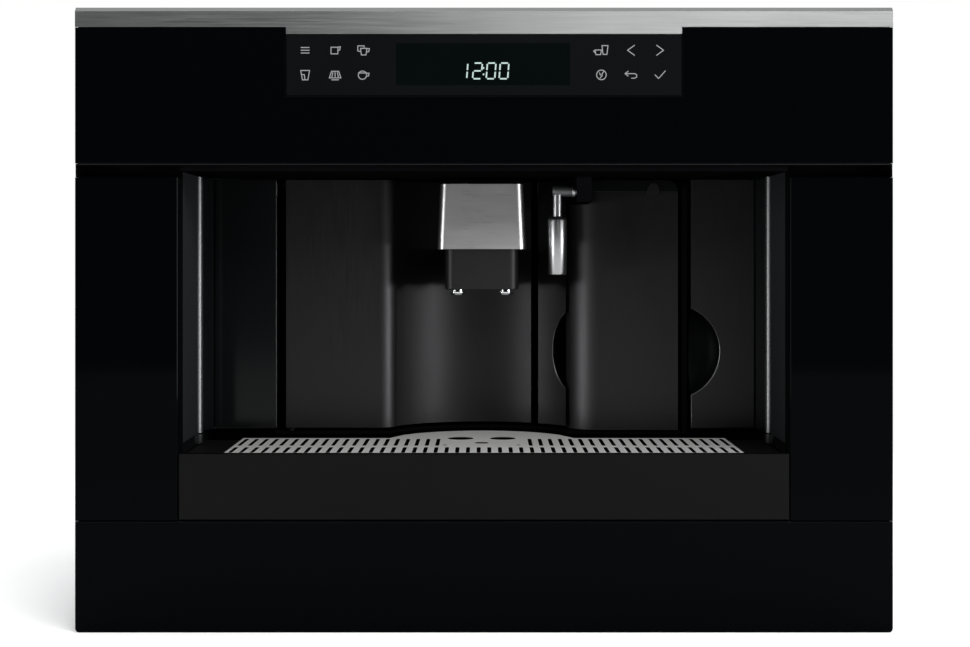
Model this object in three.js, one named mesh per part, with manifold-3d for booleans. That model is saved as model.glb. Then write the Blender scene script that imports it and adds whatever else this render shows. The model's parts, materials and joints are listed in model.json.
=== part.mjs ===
// A built-in bean-to-cup coffee machine for a 450 mm high cabinet niche, in millimetres, +Z up.
// The fascia's front face is at depth 0 and depth grows towards the back, so every shape is drawn
// in (x, depth, z) and the whole group is moved so that the origin lies under its middle.
import * as THREE from 'three';
import { mergeVertices } from 'three/addons/utils/BufferGeometryUtils.js';
import Module from 'manifold-3d';

const wasm = await Module();
wasm.setup();

// ---------------------------------------------------------------- driving dimensions, mm

// Whole machine
const WIDTH = 595;
const HEIGHT = 455;
const DEPTH = 361;
const FIT = 0.3; // clearance between fitted pieces
const RUN = 0.5; // clearance beside pieces that slide or turn
const SHEET = 1.2; // folded steel sheet of the case
const WALL = 2.5; // moulded plastic walls
const MARGIN = 1; // how far a cutting shape reaches past the face it opens

// Fascia
const GLASS_T = 4;
const GLASS_BEVEL = 0.6;
const FRAME_T = 16;
const FRAME_INSET = 1.5;
const STRIP_H = 14.4;
const STRIP_T = 1.5;
const STRIP_CHAMFER = 3;
const STRIP_DROP = 5.1; // how far the strip's middle reaches down over the controls
const UPPER_H = 99.3;
const CONTROL_W = 288;
const CONTROL_H = 44.9;
const CONTROL_RECESS = 0.4;
const DISPLAY_W = 126;
const DISPLAY_H = 30.5;
const BOARD_W = 252;
const BOARD_H = 40;
const GRIP_GAP_H = 10.1; // shadow gap below the upper glass, where fingers pull the machine out
const GRIP_GAP_D = 16;
const COLUMN_W = 75;
const LOWER_H = 80.9;
const LOWER_CORNER = 3;

// Cup niche and the waved back wall
const NICHE_RISE = 4.8; // from the columns' top edges up to the niche's ceiling
const NICHE_SEAM_Z = 135.7;
const BOW_D = 92; // depth from which the niche's side walls curve inwards
const BOW_R = 105;
const FACE_D = 125.5; // depth of the flat faces at the back of the niche
const CEILING_D = 200;
const DOOR_LEFT = -158.4;
const DOOR_FLAT_W = 75;
const ROLL_R = 13; // convex edge between the door's flat face and its alcove
const ALCOVE_W = 137.2;
const ALCOVE_SAG = 40;
const STRIP_PANEL_W = 21.6; // fixed part of the alcove, right of the groove
const GROOVE = 5.8;
const BAY_SIDE_GAP = 7.6;
const PANEL_GAP = 1; // above and below the panels at the back of the niche
const NICHE_PANEL_T = 2.5;
const SCOOP_R = 37.8; // finger recess beside the tank
const SCOOP_D = 20;
const SCOOP_Z = 197.6;
const SCOOP_OFFSET = 14.6;
const SCOOP_INSET = 8; // from the alcove's edge to the middle of its scoop

// Service door
const SKIN_T = 2;
const DOOR_T = 14;
const DOOR_WALL = 3;
const HINGE_R = 3;
const HINGE_INSET = 3.4;
const HINGE_D = 6.5;
const DOOR_END_INSET = 1.3;

// Coffee spout
const COVER_W = 69.6;
const COVER_H = 50.9;
const COVER_TAPER = 4.6;
const COVER_CLEAR = 5.6; // below the niche's ceiling
const COVER_FRONT_D = 94;
const COVER_CORNER = 5;
const COVER_T = 1.5;
const BLOCK_W = 58;
const BLOCK_H = 54;
const BLOCK_RISE = 20.5; // how far the sliding block reaches up into the cover
const BLOCK_BACK_D = 144;
const BLOCK_CORNER = 5;
const RAIL_HEAD_W = 28;
const RAIL_NECK_W = 16;
const RAIL_HEAD_T = 6;
const RAIL_RISE = 2;
const NOZZLE_PITCH = 38;
const NOZZLE_D = 113;
const NOZZLE_R = 6.6;
const NOZZLE_DROP = 3;
const NOZZLE_BORE_R = 2.4;
const NOZZLE_NECK_R = 5;
const NOZZLE_NECK_H = 7;

// Drip tray and grid
const TRAY_FRONT_TOP = 130.4;
const TRAY_FRONT_T = 5;
const TRAY_SEAM = 1.1;
const TRAY_TOP = 127.2;
const TRAY_BACK_GAP = 3.5;
const TRAY_LOBE = 4;
const BAY_DEPTH = 192;
const GRID_W = 382;
const GRID_T = 2;
const GRID_FRONT_GAP = 3;
const GRID_BACK_GAP = 10.5;
const GRID_WAVE_GAP = 4;
const GRID_REST = 5; // width of the tray's ledge under the grid
const SLOT_COUNT = 48;
const SLOT_PITCH = 7.95;
const SLOT_W = 3;
const NEAR_SLOTS = [13, 49];
const FAR_SLOTS = [60, 109];
const CLEAR_SLOTS = 8; // slots left out of the far row, where the cup stands
const CUP_HOLE_R = 10.25;
const CUP_HOLE_PITCH = 33.4;
const CUP_HOLE_D = 113;
const DRAIN_HOLE_R = 2;
const DRAIN_HOLE_PITCH = 56;
const DRAIN_HOLE_D = 65;
const FLOAT_HOLE_R = 5.5;
const FLOAT_D = 80;
const FLOAT_R = 14;
const FLOAT_STEM_R = 4;
const FLOAT_DISC_H = 7;

// Water tank
const TANK_W = 88.4;
const TANK_BACK_GAP = 10;
const TANK_LIFT = 0.9;
const TANK_ROLL_R = 26;
const TANK_SKIN_T = 2;
const TANK_WALL = 2.5;
const TANK_LID_H = 9.7;
const LID_CORNER = 9;
const NOTCH_W = 17.2; // step in the tank's top left edge, under the steam pipe's block
const NOTCH_H = 19.5;
const TANK_RIB_W = 4;
const TANK_RIB_GAP = 3.2;
const OUTLET_R = 6;
const OUTLET_RISE = 17.1;
const OUTLET_L = 8;

// Steam pipe
const PIPE_D = 92;
const PIPE_CLEAR = 11.4; // below the niche's ceiling
const PIPE_R = 4.2;
const WAND_X = 57.3;
const WAND_R = 3.6;
const WAND_L = 56.6;
const RING_R = 4.8;
const RING_W = 3.1;
const RING_OFFSET = 11.5; // from the pipe's hanging leg to the ring at its joint
const BOSS_DEPTH = 8;
const SLEEVE_TOP_R = 8;
const SLEEVE_FOOT_R = 6.9;
const SLEEVE_L = 45.3;
const SLEEVE_DROP = 19.9;
const SLEEVE_CHAMFER = 2;
const AIR_HOLE_R = 1.6;

// Case and runners
const CASE_INSET = 37.5; // from the fascia's side edges in to the case
const CASE_BOTTOM = 4;
const CASE_DROP = 13; // from the fascia's top edge down to the case's cover
const PAN_LIP = 26;
const STOP_T = 1; // land on the fascia's back that meets the cabinet's edge
const STOP_INSET = 3;
const STOP_FOOT = 60;
const STOP_HEAD = 25;
const RAIL_FRONT_D = 30;
const RAIL_BACK_GAP = 7;
const RAIL_H = 45;
const RAIL_W = 18;
const RAIL_T = 2;
const VENT_W = 5;
const VENT_H = 60;
const VENT_PITCH = 12;
const SIDE_VENT_BACK = 127;
const SIDE_VENT_DROP = 142;
const BACK_VENT_X = -200;
const BACK_VENT_DROP = 112;
const TOP_VENT_X = 150;
const TOP_VENT_D = 120;
const PAN_VENT_X = -66;
const PAN_VENT_D = 60;

// Service bay behind the door and the tank
const BAY_FLOOR_Z = 131.5;
const BAY_BACK_GAP = 17;
const BAY_CLEAR = 6; // from its walls' tops up to the niche's ceiling

// Hopper, grinder and lids on top
const MILL_X = -70;
const MILL_BACK_GAP = 95; // from the grinder's axis to the case's back
const MILL_R = 42;
const MILL_H = 47;
const MILL_CHAMFER = 4;
const MILL_NECK_W = 40; // gearbox between the motor and the burrs
const BURR_R = 35;
const BURR_ROOM = 30; // depth of the burr chamber
const BURR_BOSS_H = 12;
const BURR_RING_W = 5;
const BURR_CONE_TOP = 4;
const BURR_FLUTES = 10;
const BURR_FLUTE_DEPTH = 0.14; // share of the radius
const BURR_TWIST = 0.02; // radians per mm
const GRIND_MOTOR_R = 27;
const GRIND_MOTOR_L = 78;
const GRIND_MOTOR_END_R = 14;
const HOPPER_HALF = 70;
const HOPPER_CORNER = 12;
const HOPPER_NECK_R = 22;
const HOPPER_NECK_H = 9;
const HOPPER_RIM_H = 12;
const HOPPER_DROP = 49.4;
const HOPPER_WALL = 2;
const LID_T = 4.2;
const LID_OVERHANG = 2;
const LID_TAB_W = 36;
const LID_TAB_L = 4;
const LID_PIN_R = 1.5;
const LID_PIN_GAP = 3.5;
const LID_PIN_RISE = 3;
const LID_ARM_W = 4;
const EAR_W = 6;
const EAR_SPREAD = 49;
const KNOB_X = 60;
const KNOB_R = 17;
const KNOB_H = 6.5;
const KNOB_SHAFT_R = 4;
const KNOB_SHAFT_L = 14;
const KNOB_LOBES = 12;
const KNOB_LOBE_H = 0.8;
const KNOB_MARK_W = 2.4;

// Brewing unit
const BREW_X = -10;
const BREW_W = 64;
const BREW_CLEAR = 2; // below the top of the service bay
const BREW_FOOT_H = 20;
const BREW_HEAD_H = 26;
const BREW_BACK_T = 6;
const BREW_POST_W = 10;
const CUP_R = 24;
const CUP_BORE_R = 19.5;
const CUP_LIFT = 31; // the chamber's foot above the bay's floor
const CUP_H = 57;
const CUP_FLOOR_T = 8;
const PISTON_R = 18.5;
const PISTON_L = 46;
const CARRIAGE_W = 28;
const CARRIAGE_H = 14;
const SPINDLE_GAP = 20; // from the chamber's wall to the spindle's axis
const SPINDLE_R = 4;
const SPINDLE_TAIL = 12;
const SPINDLE_BACK_GAP = 14;
const DRIVE_R = 20;
const DRIVE_L = 65.5;
const DRIVE_PLATE_W = 52;
const DRIVE_PLATE_T = 21.7;
const BOX_WALL = 2;
const BOX_H = 96;
const BOX_CORNER = 8;
const BOX_GAP = 8;

// Pump, heater, power board and inlet
const PUMP_R = 27;
const PUMP_COIL_L = 60;
const PUMP_END_R = 19;
const PUMP_END_L = 24;
const PUMP_NECK_L = 44;
const PUMP_PORT_R = 5;
const PUMP_PORT_L = 20;
const PUMP_BACK_GAP = 22;
const PUMP_CRADLE = 60;
const HEATER_BACK_GAP = 50; // to the plane of the service bay's back wall
const HEATER_H = 90;
const HEATER_T = 44;
const HEATER_Z = 180;
const HEATER_CORNER = 14;
const HEATER_GAP = 12.5; // behind the finger recess
const HEATER_EAR_W = 12;
const HEATER_EAR_H = 22;
const HEATER_EAR_L = 14;
const HEATER_PORT_R = 6;
const HEATER_PORT_L = 14;
const HOSE_R = 3;
const POWER_FRONT_D = 150;
const POWER_BACK_GAP = 27;
const POWER_Z = 60;
const POWER_H = 150;
const POWER_T = 1.6;
const POST_L = 8;
const POST_W = 8;
const PART_W = 30; // the largest component on the power board
const BEZEL_T = 4;
const BEZEL_EDGE = 5;
const INLET_LEFT = 150;
const INLET_W = 72;
const INLET_Z = 38;
const INLET_H = 24;
const INLET_BODY_L = 24;
const INLET_RIM = 3;
const SOCKET_W = 28;
const SOCKET_D = 18;
const SOCKET_CORNER = 4;
const SWITCH_W = 14;
const SWITCH_D = 10;
const ROCKER_T = 4;
const ROCKER_TILT = 16; // degrees between on and off

// ---------------------------------------------------------------- places worked out from them

const HALF = WIDTH / 2;
const NICHE_HALF = HALF - COLUMN_W;
const FASCIA_BACK = GLASS_T + FRAME_T;
const STRIP_Z = HEIGHT - STRIP_H;
const CONTROL_TOP = STRIP_Z - STRIP_DROP;
const CONTROL_Z = CONTROL_TOP - CONTROL_H;
const CONTROL_MID = (CONTROL_TOP + CONTROL_Z) / 2;
const UPPER_Z = STRIP_Z - UPPER_H;
const COLUMN_TOP = UPPER_Z - GRIP_GAP_H;
const TRAY_BAY_Z = LOWER_H + FIT;
const NICHE_TOP = COLUMN_TOP + NICHE_RISE;
const PANEL_BOTTOM = NICHE_SEAM_Z + PANEL_GAP;
const PANEL_TOP = NICHE_TOP - PANEL_GAP;

const ALCOVE_LEFT = DOOR_LEFT + DOOR_FLAT_W + ROLL_R;
const ALCOVE_RIGHT = ALCOVE_LEFT + ALCOVE_W;
const ALCOVE_X = (ALCOVE_LEFT + ALCOVE_RIGHT) / 2;
const ALCOVE_R = ((ALCOVE_W / 2) ** 2 + ALCOVE_SAG ** 2) / (2 * ALCOVE_SAG);
const ALCOVE_D = FACE_D + ROLL_R + ALCOVE_SAG - ALCOVE_R;
const STRIP_RIGHT = ALCOVE_RIGHT - FIT * 2;
const STRIP_LEFT = STRIP_RIGHT - STRIP_PANEL_W;
const DOOR_RIGHT = STRIP_LEFT - GROOVE;
const STRIP_BACK = FACE_D + ROLL_R + ALCOVE_SAG;

const CASE_HALF = HALF - CASE_INSET;
const CASE_TOP = HEIGHT - CASE_DROP;
const CASE_BACK = DEPTH - BEZEL_T;
const BAY_BACK_D = CASE_BACK - BAY_BACK_GAP;
const BAY_TOP = NICHE_TOP - BAY_CLEAR;
const TANK_LEFT = ALCOVE_RIGHT;
const TANK_RIGHT = TANK_LEFT + TANK_W;
const TANK_MID = (TANK_LEFT + TANK_RIGHT) / 2;
const TANK_BACK_D = BAY_BACK_D - TANK_BACK_GAP;
const RIB_LEFT = TANK_RIGHT + TANK_RIB_GAP;
const RIB_RIGHT = RIB_LEFT + TANK_RIB_W;
const BAY_LEFT = DOOR_LEFT - BAY_SIDE_GAP;
const BAY_RIGHT = RIB_RIGHT + TANK_RIB_GAP;
const BAY_FLOOR_TOP = BAY_FLOOR_Z + WALL;
const BAY_DIVIDER = ALCOVE_RIGHT - FIT - WALL - RUN * 3;
const LINER_D = FACE_D + NICHE_PANEL_T;
const TANK_BOTTOM = BAY_FLOOR_TOP + TANK_LIFT;
const LID_TOP = PANEL_TOP;
const TANK_TOP = LID_TOP - TANK_LID_H;
const NOTCH_X = TANK_LEFT + NOTCH_W;
const NOTCH_Z = LID_TOP - NOTCH_H;
const OUTLET_Z = TANK_BOTTOM + OUTLET_RISE;

const HINGE_X = DOOR_LEFT + HINGE_INSET;
const HINGE_Y = FACE_D + HINGE_D;
const COVER_TOP = NICHE_TOP - COVER_CLEAR;
const COVER_BOTTOM = COVER_TOP - COVER_H;
const BLOCK_TOP = COVER_BOTTOM + BLOCK_RISE;
const BLOCK_BOTTOM = BLOCK_TOP - BLOCK_H;
const RAIL_BOTTOM = BLOCK_BOTTOM + RAIL_RISE;
const NOZZLE_BOTTOM = BLOCK_BOTTOM - NOZZLE_DROP;
const SPOUT_INSIDE_D = COVER_FRONT_D + COVER_T;
const GRID_TOP = TRAY_TOP + FIT + GRID_T;
const GRID_FRONT = TRAY_FRONT_T + GRID_FRONT_GAP;
const GRID_BACK = FACE_D - GRID_BACK_GAP;
const PIPE_Z = NICHE_TOP - PIPE_CLEAR;
const WAND_BOTTOM = PIPE_Z - WAND_L;
const SLEEVE_TOP = PIPE_Z - SLEEVE_DROP;
const SLEEVE_BOTTOM = SLEEVE_TOP - SLEEVE_L;

const MILL_D = CASE_BACK - MILL_BACK_GAP;
const HOPPER_NECK_Z = CASE_TOP - HOPPER_DROP;
const MILL_TOP = HOPPER_NECK_Z - FIT * 2;
const MILL_BOTTOM = MILL_TOP - MILL_H;
const BURR_FLOOR = MILL_TOP - BURR_ROOM;
const LID_LOW = CASE_TOP + FIT;
const LID_HALF = HOPPER_HALF + LID_OVERHANG;
const LID_PIN_D = MILL_D + LID_HALF + LID_PIN_GAP;
const LID_PIN_Z = CASE_TOP + LID_PIN_RISE;
const LID_EARS = [MILL_X - EAR_SPREAD, MILL_X + EAR_SPREAD];
const BREW_D = MILL_D;
const BREW_BASE = BAY_FLOOR_TOP + FIT;
const BREW_TOP = BAY_TOP - BREW_CLEAR;
const CUP_BOTTOM = BAY_FLOOR_TOP + CUP_LIFT;
const CUP_TOP = CUP_BOTTOM + CUP_H;
const SPINDLE_D = BREW_D + CUP_R + SPINDLE_GAP;
const BREW_BACK_D = SPINDLE_D + SPINDLE_BACK_GAP;
const INLET_RIGHT = INLET_LEFT + INLET_W;
const INLET_TOP = INLET_Z + INLET_H;
const SWITCH_RIGHT = INLET_LEFT + SWITCH_W;
const HEATER_RIGHT = CASE_HALF - SHEET - HEATER_EAR_L;
const HEATER_D = FACE_D + SCOOP_D + SKIN_T + HEATER_GAP;

// ---------------------------------------------------------------- shapes

// A closed outline through [x, y] points.
function outline(points) {
  return new THREE.Shape(points.map(([x, y]) => new THREE.Vector2(x, y)));
}

// The points of a rectangle from (x0, y0) to (x1, y1).
function corners(x0, x1, y0, y1) {
  return [[x0, y0], [x1, y0], [x1, y1], [x0, y1]];
}

function rectangle(x0, x1, y0, y1) {
  return outline(corners(x0, x1, y0, y1));
}

// Points along an arc from one angle to another, in degrees.
function arc(x, y, radius, from, to, steps) {
  const points = [];
  for (let i = 0; i <= steps; i += 1) {
    const a = THREE.MathUtils.degToRad(from + (to - from) * i / steps);
    points.push([x + radius * Math.cos(a), y + radius * Math.sin(a)]);
  }
  return points;
}

// A rectangle whose four corners are round.
function softRectangle(x0, x1, y0, y1, radius, steps = 3) {
  return outline([
    ...arc(x1 - radius, y1 - radius, radius, 0, 90, steps),
    ...arc(x0 + radius, y1 - radius, radius, 90, 180, steps),
    ...arc(x0 + radius, y0 + radius, radius, 180, 270, steps),
    ...arc(x1 - radius, y0 + radius, radius, 270, 360, steps),
  ]);
}

function circle(x, y, radius, steps = 16) {
  return outline(arc(x, y, radius, 0, 360 - 360 / steps, steps - 1));
}

// A prism standing upright from low to high; its outline is a plan in (x, depth).
function upright(shape, low, high, bevel = 0) {
  const settings = {
    depth: high - low - 2 * bevel,
    bevelEnabled: bevel > 0,
    bevelSize: bevel,
    bevelThickness: bevel,
    bevelOffset: -bevel,
    bevelSegments: 1,
  };
  return new THREE.ExtrudeGeometry(shape, settings).translate(0, 0, low + bevel);
}

// A prism lying from front to back; its outline is seen from the front, in (x, z).
function lengthwise(shape, front, back, bevel = 0) {
  return upright(shape, -back, -front, bevel).rotateX(Math.PI / 2);
}

// A prism running from left to right; its outline is seen from the side, in (depth, z).
function crosswise(shape, left, right, bevel = 0) {
  const turn = new THREE.Matrix4().set(0, 0, 1, 0, 1, 0, 0, 0, 0, 1, 0, 0, 0, 0, 0, 1);
  return upright(shape, left, right, bevel).applyMatrix4(turn);
}

// A plate with holes through it; direction is upright, lengthwise or crosswise.
function pierced(direction, shape, low, high, holes) {
  const tools = holes.map((hole) => direction(hole, low - MARGIN, high + MARGIN));
  return cut(direction(shape, low, high), ...tools);
}

function block(x0, x1, d0, d1, z0, z1) {
  return upright(rectangle(x0, x1, d0, d1), z0, z1);
}

// A body of revolution about a vertical axis; the profile is in (radius, z), from the foot up.
function turned(profile, x, d, segments = 24) {
  const points = profile.map(([r, z]) => new THREE.Vector2(r, z));
  return new THREE.LatheGeometry(points, segments).rotateX(Math.PI / 2).translate(x, d, 0);
}

// The same about an axis that runs from front to back; the profile is in (radius, depth).
function turnedLengthwise(profile, x, z, segments = 24) {
  return turned(profile, 0, 0, segments).rotateX(-Math.PI / 2).translate(x, 0, z);
}

// The same about an axis that runs from left to right; the profile is in (radius, x).
function turnedCrosswise(profile, d, z, segments = 24) {
  return turned(profile, 0, 0, segments).rotateY(Math.PI / 2).translate(0, d, z);
}

function rodProfile(radius, from, to) {
  return [[0, from], [radius, from], [radius, to], [0, to]];
}

// A round tube or rod bent along a smooth line through points.
function bent(points, radius, steps, sides = 8) {
  const way = points.map((p) => new THREE.Vector3(...p));
  const path = new THREE.CatmullRomCurve3(way, false, 'centripetal');
  return new THREE.ExtrudeGeometry(circle(0, 0, radius, sides), { steps, extrudePath: path });
}

// A closed wall through rings of points that go out and come back to the first ring.
function wallThrough(rings) {
  const count = rings[0].length;
  const positions = rings.flat().flat();
  const index = [];
  rings.forEach((_, r) => {
    const next = (r + 1) % rings.length;
    for (let i = 0; i < count; i += 1) {
      const j = (i + 1) % count;
      const [a, b, c, d] = [r * count + i, r * count + j, next * count + j, next * count + i];
      index.push(a, b, c, a, c, d);
    }
  });
  const geometry = new THREE.BufferGeometry();
  geometry.setAttribute('position', new THREE.Float32BufferAttribute(positions, 3));
  geometry.setIndex(index);
  return geometry.toNonIndexed();
}

// A level ring of points round (x, d): a square of the given half width with round corners.
function ring(x, d, z, half, radius, steps = 5) {
  const points = [];
  [[1, 1], [-1, 1], [-1, -1], [1, -1]].forEach(([right, back], corner) => {
    for (let i = 0; i < steps; i += 1) {
      const a = (corner + (i + 0.5) / steps) * Math.PI / 2;
      points.push([
        x + right * (half - radius) + radius * Math.cos(a),
        d + back * (half - radius) + radius * Math.sin(a),
        z,
      ]);
    }
  });
  return points;
}

// Spiral flutes in a body of revolution about (x, d), above a height: the radius shrinks by up to
// a share of itself, count times round, and the pattern turns by twist radians per mm.
function fluted(geometry, x, d, from, count, share, twist) {
  const place = geometry.attributes.position;
  for (let i = 0; i < place.count; i += 1) {
    const [dx, dy, rise] = [place.getX(i) - x, place.getY(i) - d, place.getZ(i) - from];
    const wave = rise > 0 ? (1 - Math.cos(count * (Math.atan2(dy, dx) + twist * rise))) / 2 : 0;
    place.setX(i, x + dx * (1 - share * wave));
    place.setY(i, d + dy * (1 - share * wave));
  }
  return toGeometry(toSolid(geometry));
}

function toSolid(geometry) {
  const bare = geometry.clone();
  bare.deleteAttribute('normal');
  bare.deleteAttribute('uv');
  const merged = mergeVertices(bare, 1e-4);
  return new wasm.Manifold(new wasm.Mesh({
    numProp: 3,
    vertProperties: merged.attributes.position.array,
    triVerts: new Uint32Array(merged.index.array),
  }));
}

function toGeometry(solid) {
  const mesh = solid.getMesh();
  const geometry = new THREE.BufferGeometry();
  geometry.setAttribute('position', new THREE.BufferAttribute(mesh.vertProperties, 3));
  geometry.setIndex(new THREE.BufferAttribute(mesh.triVerts, 1));
  const flat = geometry.toNonIndexed();
  flat.computeVertexNormals();
  return flat;
}

function join(first, ...others) {
  return toGeometry(others.reduce((sum, g) => sum.add(toSolid(g)), toSolid(first)));
}

function cut(body, ...tools) {
  return toGeometry(tools.reduce((rest, g) => rest.subtract(toSolid(g)), toSolid(body)));
}

function common(first, ...others) {
  return toGeometry(others.reduce((sum, g) => sum.intersect(toSolid(g)), toSolid(first)));
}

function mirrored(geometry) {
  return toGeometry(toSolid(geometry).mirror([1, 0, 0]));
}

// ---------------------------------------------------------------- materials

const finish = (color, roughness, metalness = 0) => () => (
  new THREE.MeshStandardMaterial({ color, roughness, metalness })
);
const blackGlass = finish(0x030507, 0.05);
const smokedLens = finish(0x111214, 0.12);
const brushedStrip = finish(0xa9abab, 0.35, 1);
const darkSteel = finish(0x242526, 0.38, 1);
const spoutSteel = finish(0x8c8c8c, 0.3, 1);
const gridSteel = finish(0xa0a0a0, 0.32, 1);
const chrome = finish(0xc8cacc, 0.12, 1);
const blackPlastic = finish(0x161617, 0.45);
const glossPlastic = finish(0x0a0b0c, 0.12);
const trayPlastic = finish(0x1b1b1c, 0.5);
const smokedPlastic = finish(0x2c3032, 0.2);
const greyPlastic = finish(0x55585a, 0.5);
const galvanised = finish(0x9a9da0, 0.45, 1);
const aluminium = finish(0xa8aaac, 0.4, 1);
const brassMetal = finish(0xb08d4a, 0.35, 1);
const boardGreen = finish(0x1f4d33, 0.6);
const redPlastic = finish(0xb3261e, 0.4);
const burrSteel = finish(0x707478, 0.3, 1);

const machine = new THREE.Group();
machine.position.y = -DEPTH / 2;

function piece(name, geometry, material) {
  const mesh = new THREE.Mesh(geometry, material());
  mesh.name = name;
  machine.add(mesh);
  return mesh;
}

// ---------------------------------------------------------------- the waved wall in plan

// Depth of the alcove's arc at x, moved back by offset.
function alcove(x, offset = 0) {
  return ALCOVE_D + Math.sqrt((ALCOVE_R + offset) ** 2 - (x - ALCOVE_X) ** 2);
}

// Points of the alcove's arc from one x to another.
function alcoveLine(from, to, offset, steps) {
  const points = [];
  for (let i = 0; i <= steps; i += 1) {
    const x = from + (to - from) * i / steps;
    points.push([x, alcove(x, offset)]);
  }
  return points;
}

// The door's face from its hinge side to a given x: flat, then a convex roll, then the alcove.
function doorLine(from, to, offset) {
  const roll = Math.max(ROLL_R - offset, 0);
  const turn = ALCOVE_LEFT - ROLL_R;
  const edge = roll > 0
    ? arc(turn, FACE_D + ROLL_R, roll, 270, 360, 5)
    : [[ALCOVE_LEFT - offset, FACE_D + offset]];
  const start = ALCOVE_LEFT - Math.min(offset, ROLL_R) + FIT;
  return [[from, FACE_D + offset], ...edge, ...alcoveLine(start, to, offset, 12)];
}

// The outline of a plate that follows the door's face between two offsets.
function doorPlate(left, right, near, far) {
  return outline([...doorLine(left, right, near), ...doorLine(left, right, far).reverse()]);
}

// A plan of the tray family: a straight front, a flat back and a lobe that follows the alcove.
function trayPlan(half, front, back, offset) {
  const reach = Math.sqrt((ALCOVE_R + offset) ** 2 - (back - ALCOVE_D) ** 2);
  return outline([
    [-half, front], [half, front], [half, back],
    ...alcoveLine(ALCOVE_X + reach, ALCOVE_X - reach, offset, 14),
    [-half, back],
  ]);
}

// ---------------------------------------------------------------- runners

// Telescopic runner members of the right side; each is also mirrored to the left.
function runners() {
  const near = RAIL_FRONT_D;
  const far = CASE_BACK - RAIL_BACK_GAP;
  const x0 = CASE_HALF + RUN;
  const x1 = CASE_HALF + RAIL_W;
  const lip = x1 - RAIL_W / 2 - MARGIN;
  const low = RAIL_H / 5;
  const web1 = x1 - RAIL_T;
  const fixed = lengthwise(outline([
    [x0, 0], [x1, 0], [x1, RAIL_H], [lip, RAIL_H], [lip, RAIL_H - RAIL_T], [web1, RAIL_H - RAIL_T],
    [web1, low + RAIL_T], [lip, low + RAIL_T], [lip, low], [web1, low], [web1, RAIL_T], [x0, RAIL_T],
  ]), near, far);
  const outer = x1 - RAIL_T - RUN;
  const inner = lip + RUN;
  const foot = low + RAIL_T + RUN;
  const head = RAIL_H - RAIL_T - RUN;
  const web = outer - RAIL_T * 1.5;
  const sliding = lengthwise(outline([
    [inner, foot], [outer, foot], [outer, foot + RAIL_T], [web, foot + RAIL_T], [web, head - RAIL_T],
    [outer, head - RAIL_T], [outer, head], [inner, head], [inner, head - RAIL_T],
    [web - RAIL_T, head - RAIL_T], [web - RAIL_T, foot + RAIL_T], [inner, foot + RAIL_T],
  ]), near, far);
  const tongue = web - RAIL_T - RUN;
  const [low2, low3] = [foot + RAIL_T + RUN, foot + RAIL_T * 4];
  const [high2, high3] = [head - RAIL_T - RUN, head - RAIL_T * 4];
  const carried = lengthwise(outline([
    [CASE_HALF, low3], [inner + RUN, low3], [inner + RUN, low2], [tongue, low2],
    [tongue, high2], [inner + RUN, high2], [inner + RUN, high3], [CASE_HALF, high3],
  ]), near, far);
  const members = [['cabinet_rail', fixed], ['sliding_rail', sliding], ['machine_rail', carried]];
  for (const [name, geometry] of members) {
    piece(`${name}_right`, geometry, galvanised);
    piece(`${name}_left`, mirrored(geometry), galvanised);
  }
}

// ---------------------------------------------------------------- sheet steel case

// A row of vent slots, as holes for a sheet's outline.
function vents(left, low, count) {
  const slots = [];
  for (let i = 0; i < count; i += 1) {
    const x = left + i * VENT_PITCH;
    slots.push(rectangle(x, x + VENT_W, low, low + VENT_H));
  }
  return slots;
}

function caseSheets() {
  const inside = CASE_HALF - SHEET;
  const panHalf = inside - FIT;
  const front = FASCIA_BACK + FIT;
  const back = CASE_BACK - SHEET - FIT;
  const lip = CASE_BOTTOM + PAN_LIP;
  const floor = CASE_BOTTOM + SHEET;
  const hollow = block(
    -panHalf + SHEET, panHalf - SHEET, front + SHEET, back - SHEET, floor, lip + MARGIN,
  );
  const slots = vents(PAN_VENT_X, PAN_VENT_D, 12);
  piece('base_pan', cut(
    block(-panHalf, panHalf, front, back, CASE_BOTTOM, lip),
    hollow,
    ...slots.map((slot) => upright(slot, CASE_BOTTOM - MARGIN, floor + MARGIN)),
  ), galvanised);

  const side = pierced(
    crosswise, rectangle(FASCIA_BACK, CASE_BACK, CASE_BOTTOM, CASE_TOP), inside, CASE_HALF,
    vents(CASE_BACK - SIDE_VENT_BACK, CASE_TOP - SIDE_VENT_DROP, 8),
  );
  piece('side_panel_right', side, galvanised);
  piece('side_panel_left', mirrored(side), galvanised);

  const backShape = rectangle(-panHalf, panHalf, CASE_BOTTOM, CASE_TOP - SHEET - FIT);
  piece('back_panel', pierced(lengthwise, backShape, CASE_BACK - SHEET, CASE_BACK, [
    ...vents(BACK_VENT_X, CASE_TOP - BACK_VENT_DROP, 16),
    rectangle(INLET_LEFT, INLET_RIGHT, INLET_Z, INLET_TOP),
  ]), galvanised);

  const mouth = HOPPER_HALF + RUN;
  const top = pierced(
    upright, rectangle(-panHalf, panHalf, front, CASE_BACK), CASE_TOP - SHEET, CASE_TOP,
    [
      softRectangle(MILL_X - mouth, MILL_X + mouth, MILL_D - mouth, MILL_D + mouth, HOPPER_CORNER),
      circle(KNOB_X, MILL_D, KNOB_SHAFT_R + RUN),
      ...vents(TOP_VENT_X, TOP_VENT_D, 7),
    ],
  );
  const half = EAR_W / 2;
  const ears = LID_EARS.map((x) => cut(
    join(
      block(x - half, x + half, LID_PIN_D - half, LID_PIN_D + half, CASE_TOP - SHEET / 2, LID_PIN_Z),
      turnedCrosswise(rodProfile(half, x - half, x + half), LID_PIN_D, LID_PIN_Z, 16),
    ),
    turnedCrosswise(rodProfile(LID_PIN_R + FIT, x - EAR_W, x + EAR_W), LID_PIN_D, LID_PIN_Z, 12),
  ));
  piece('top_cover', join(top, ...ears), blackPlastic);
}

// ---------------------------------------------------------------- fascia

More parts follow.
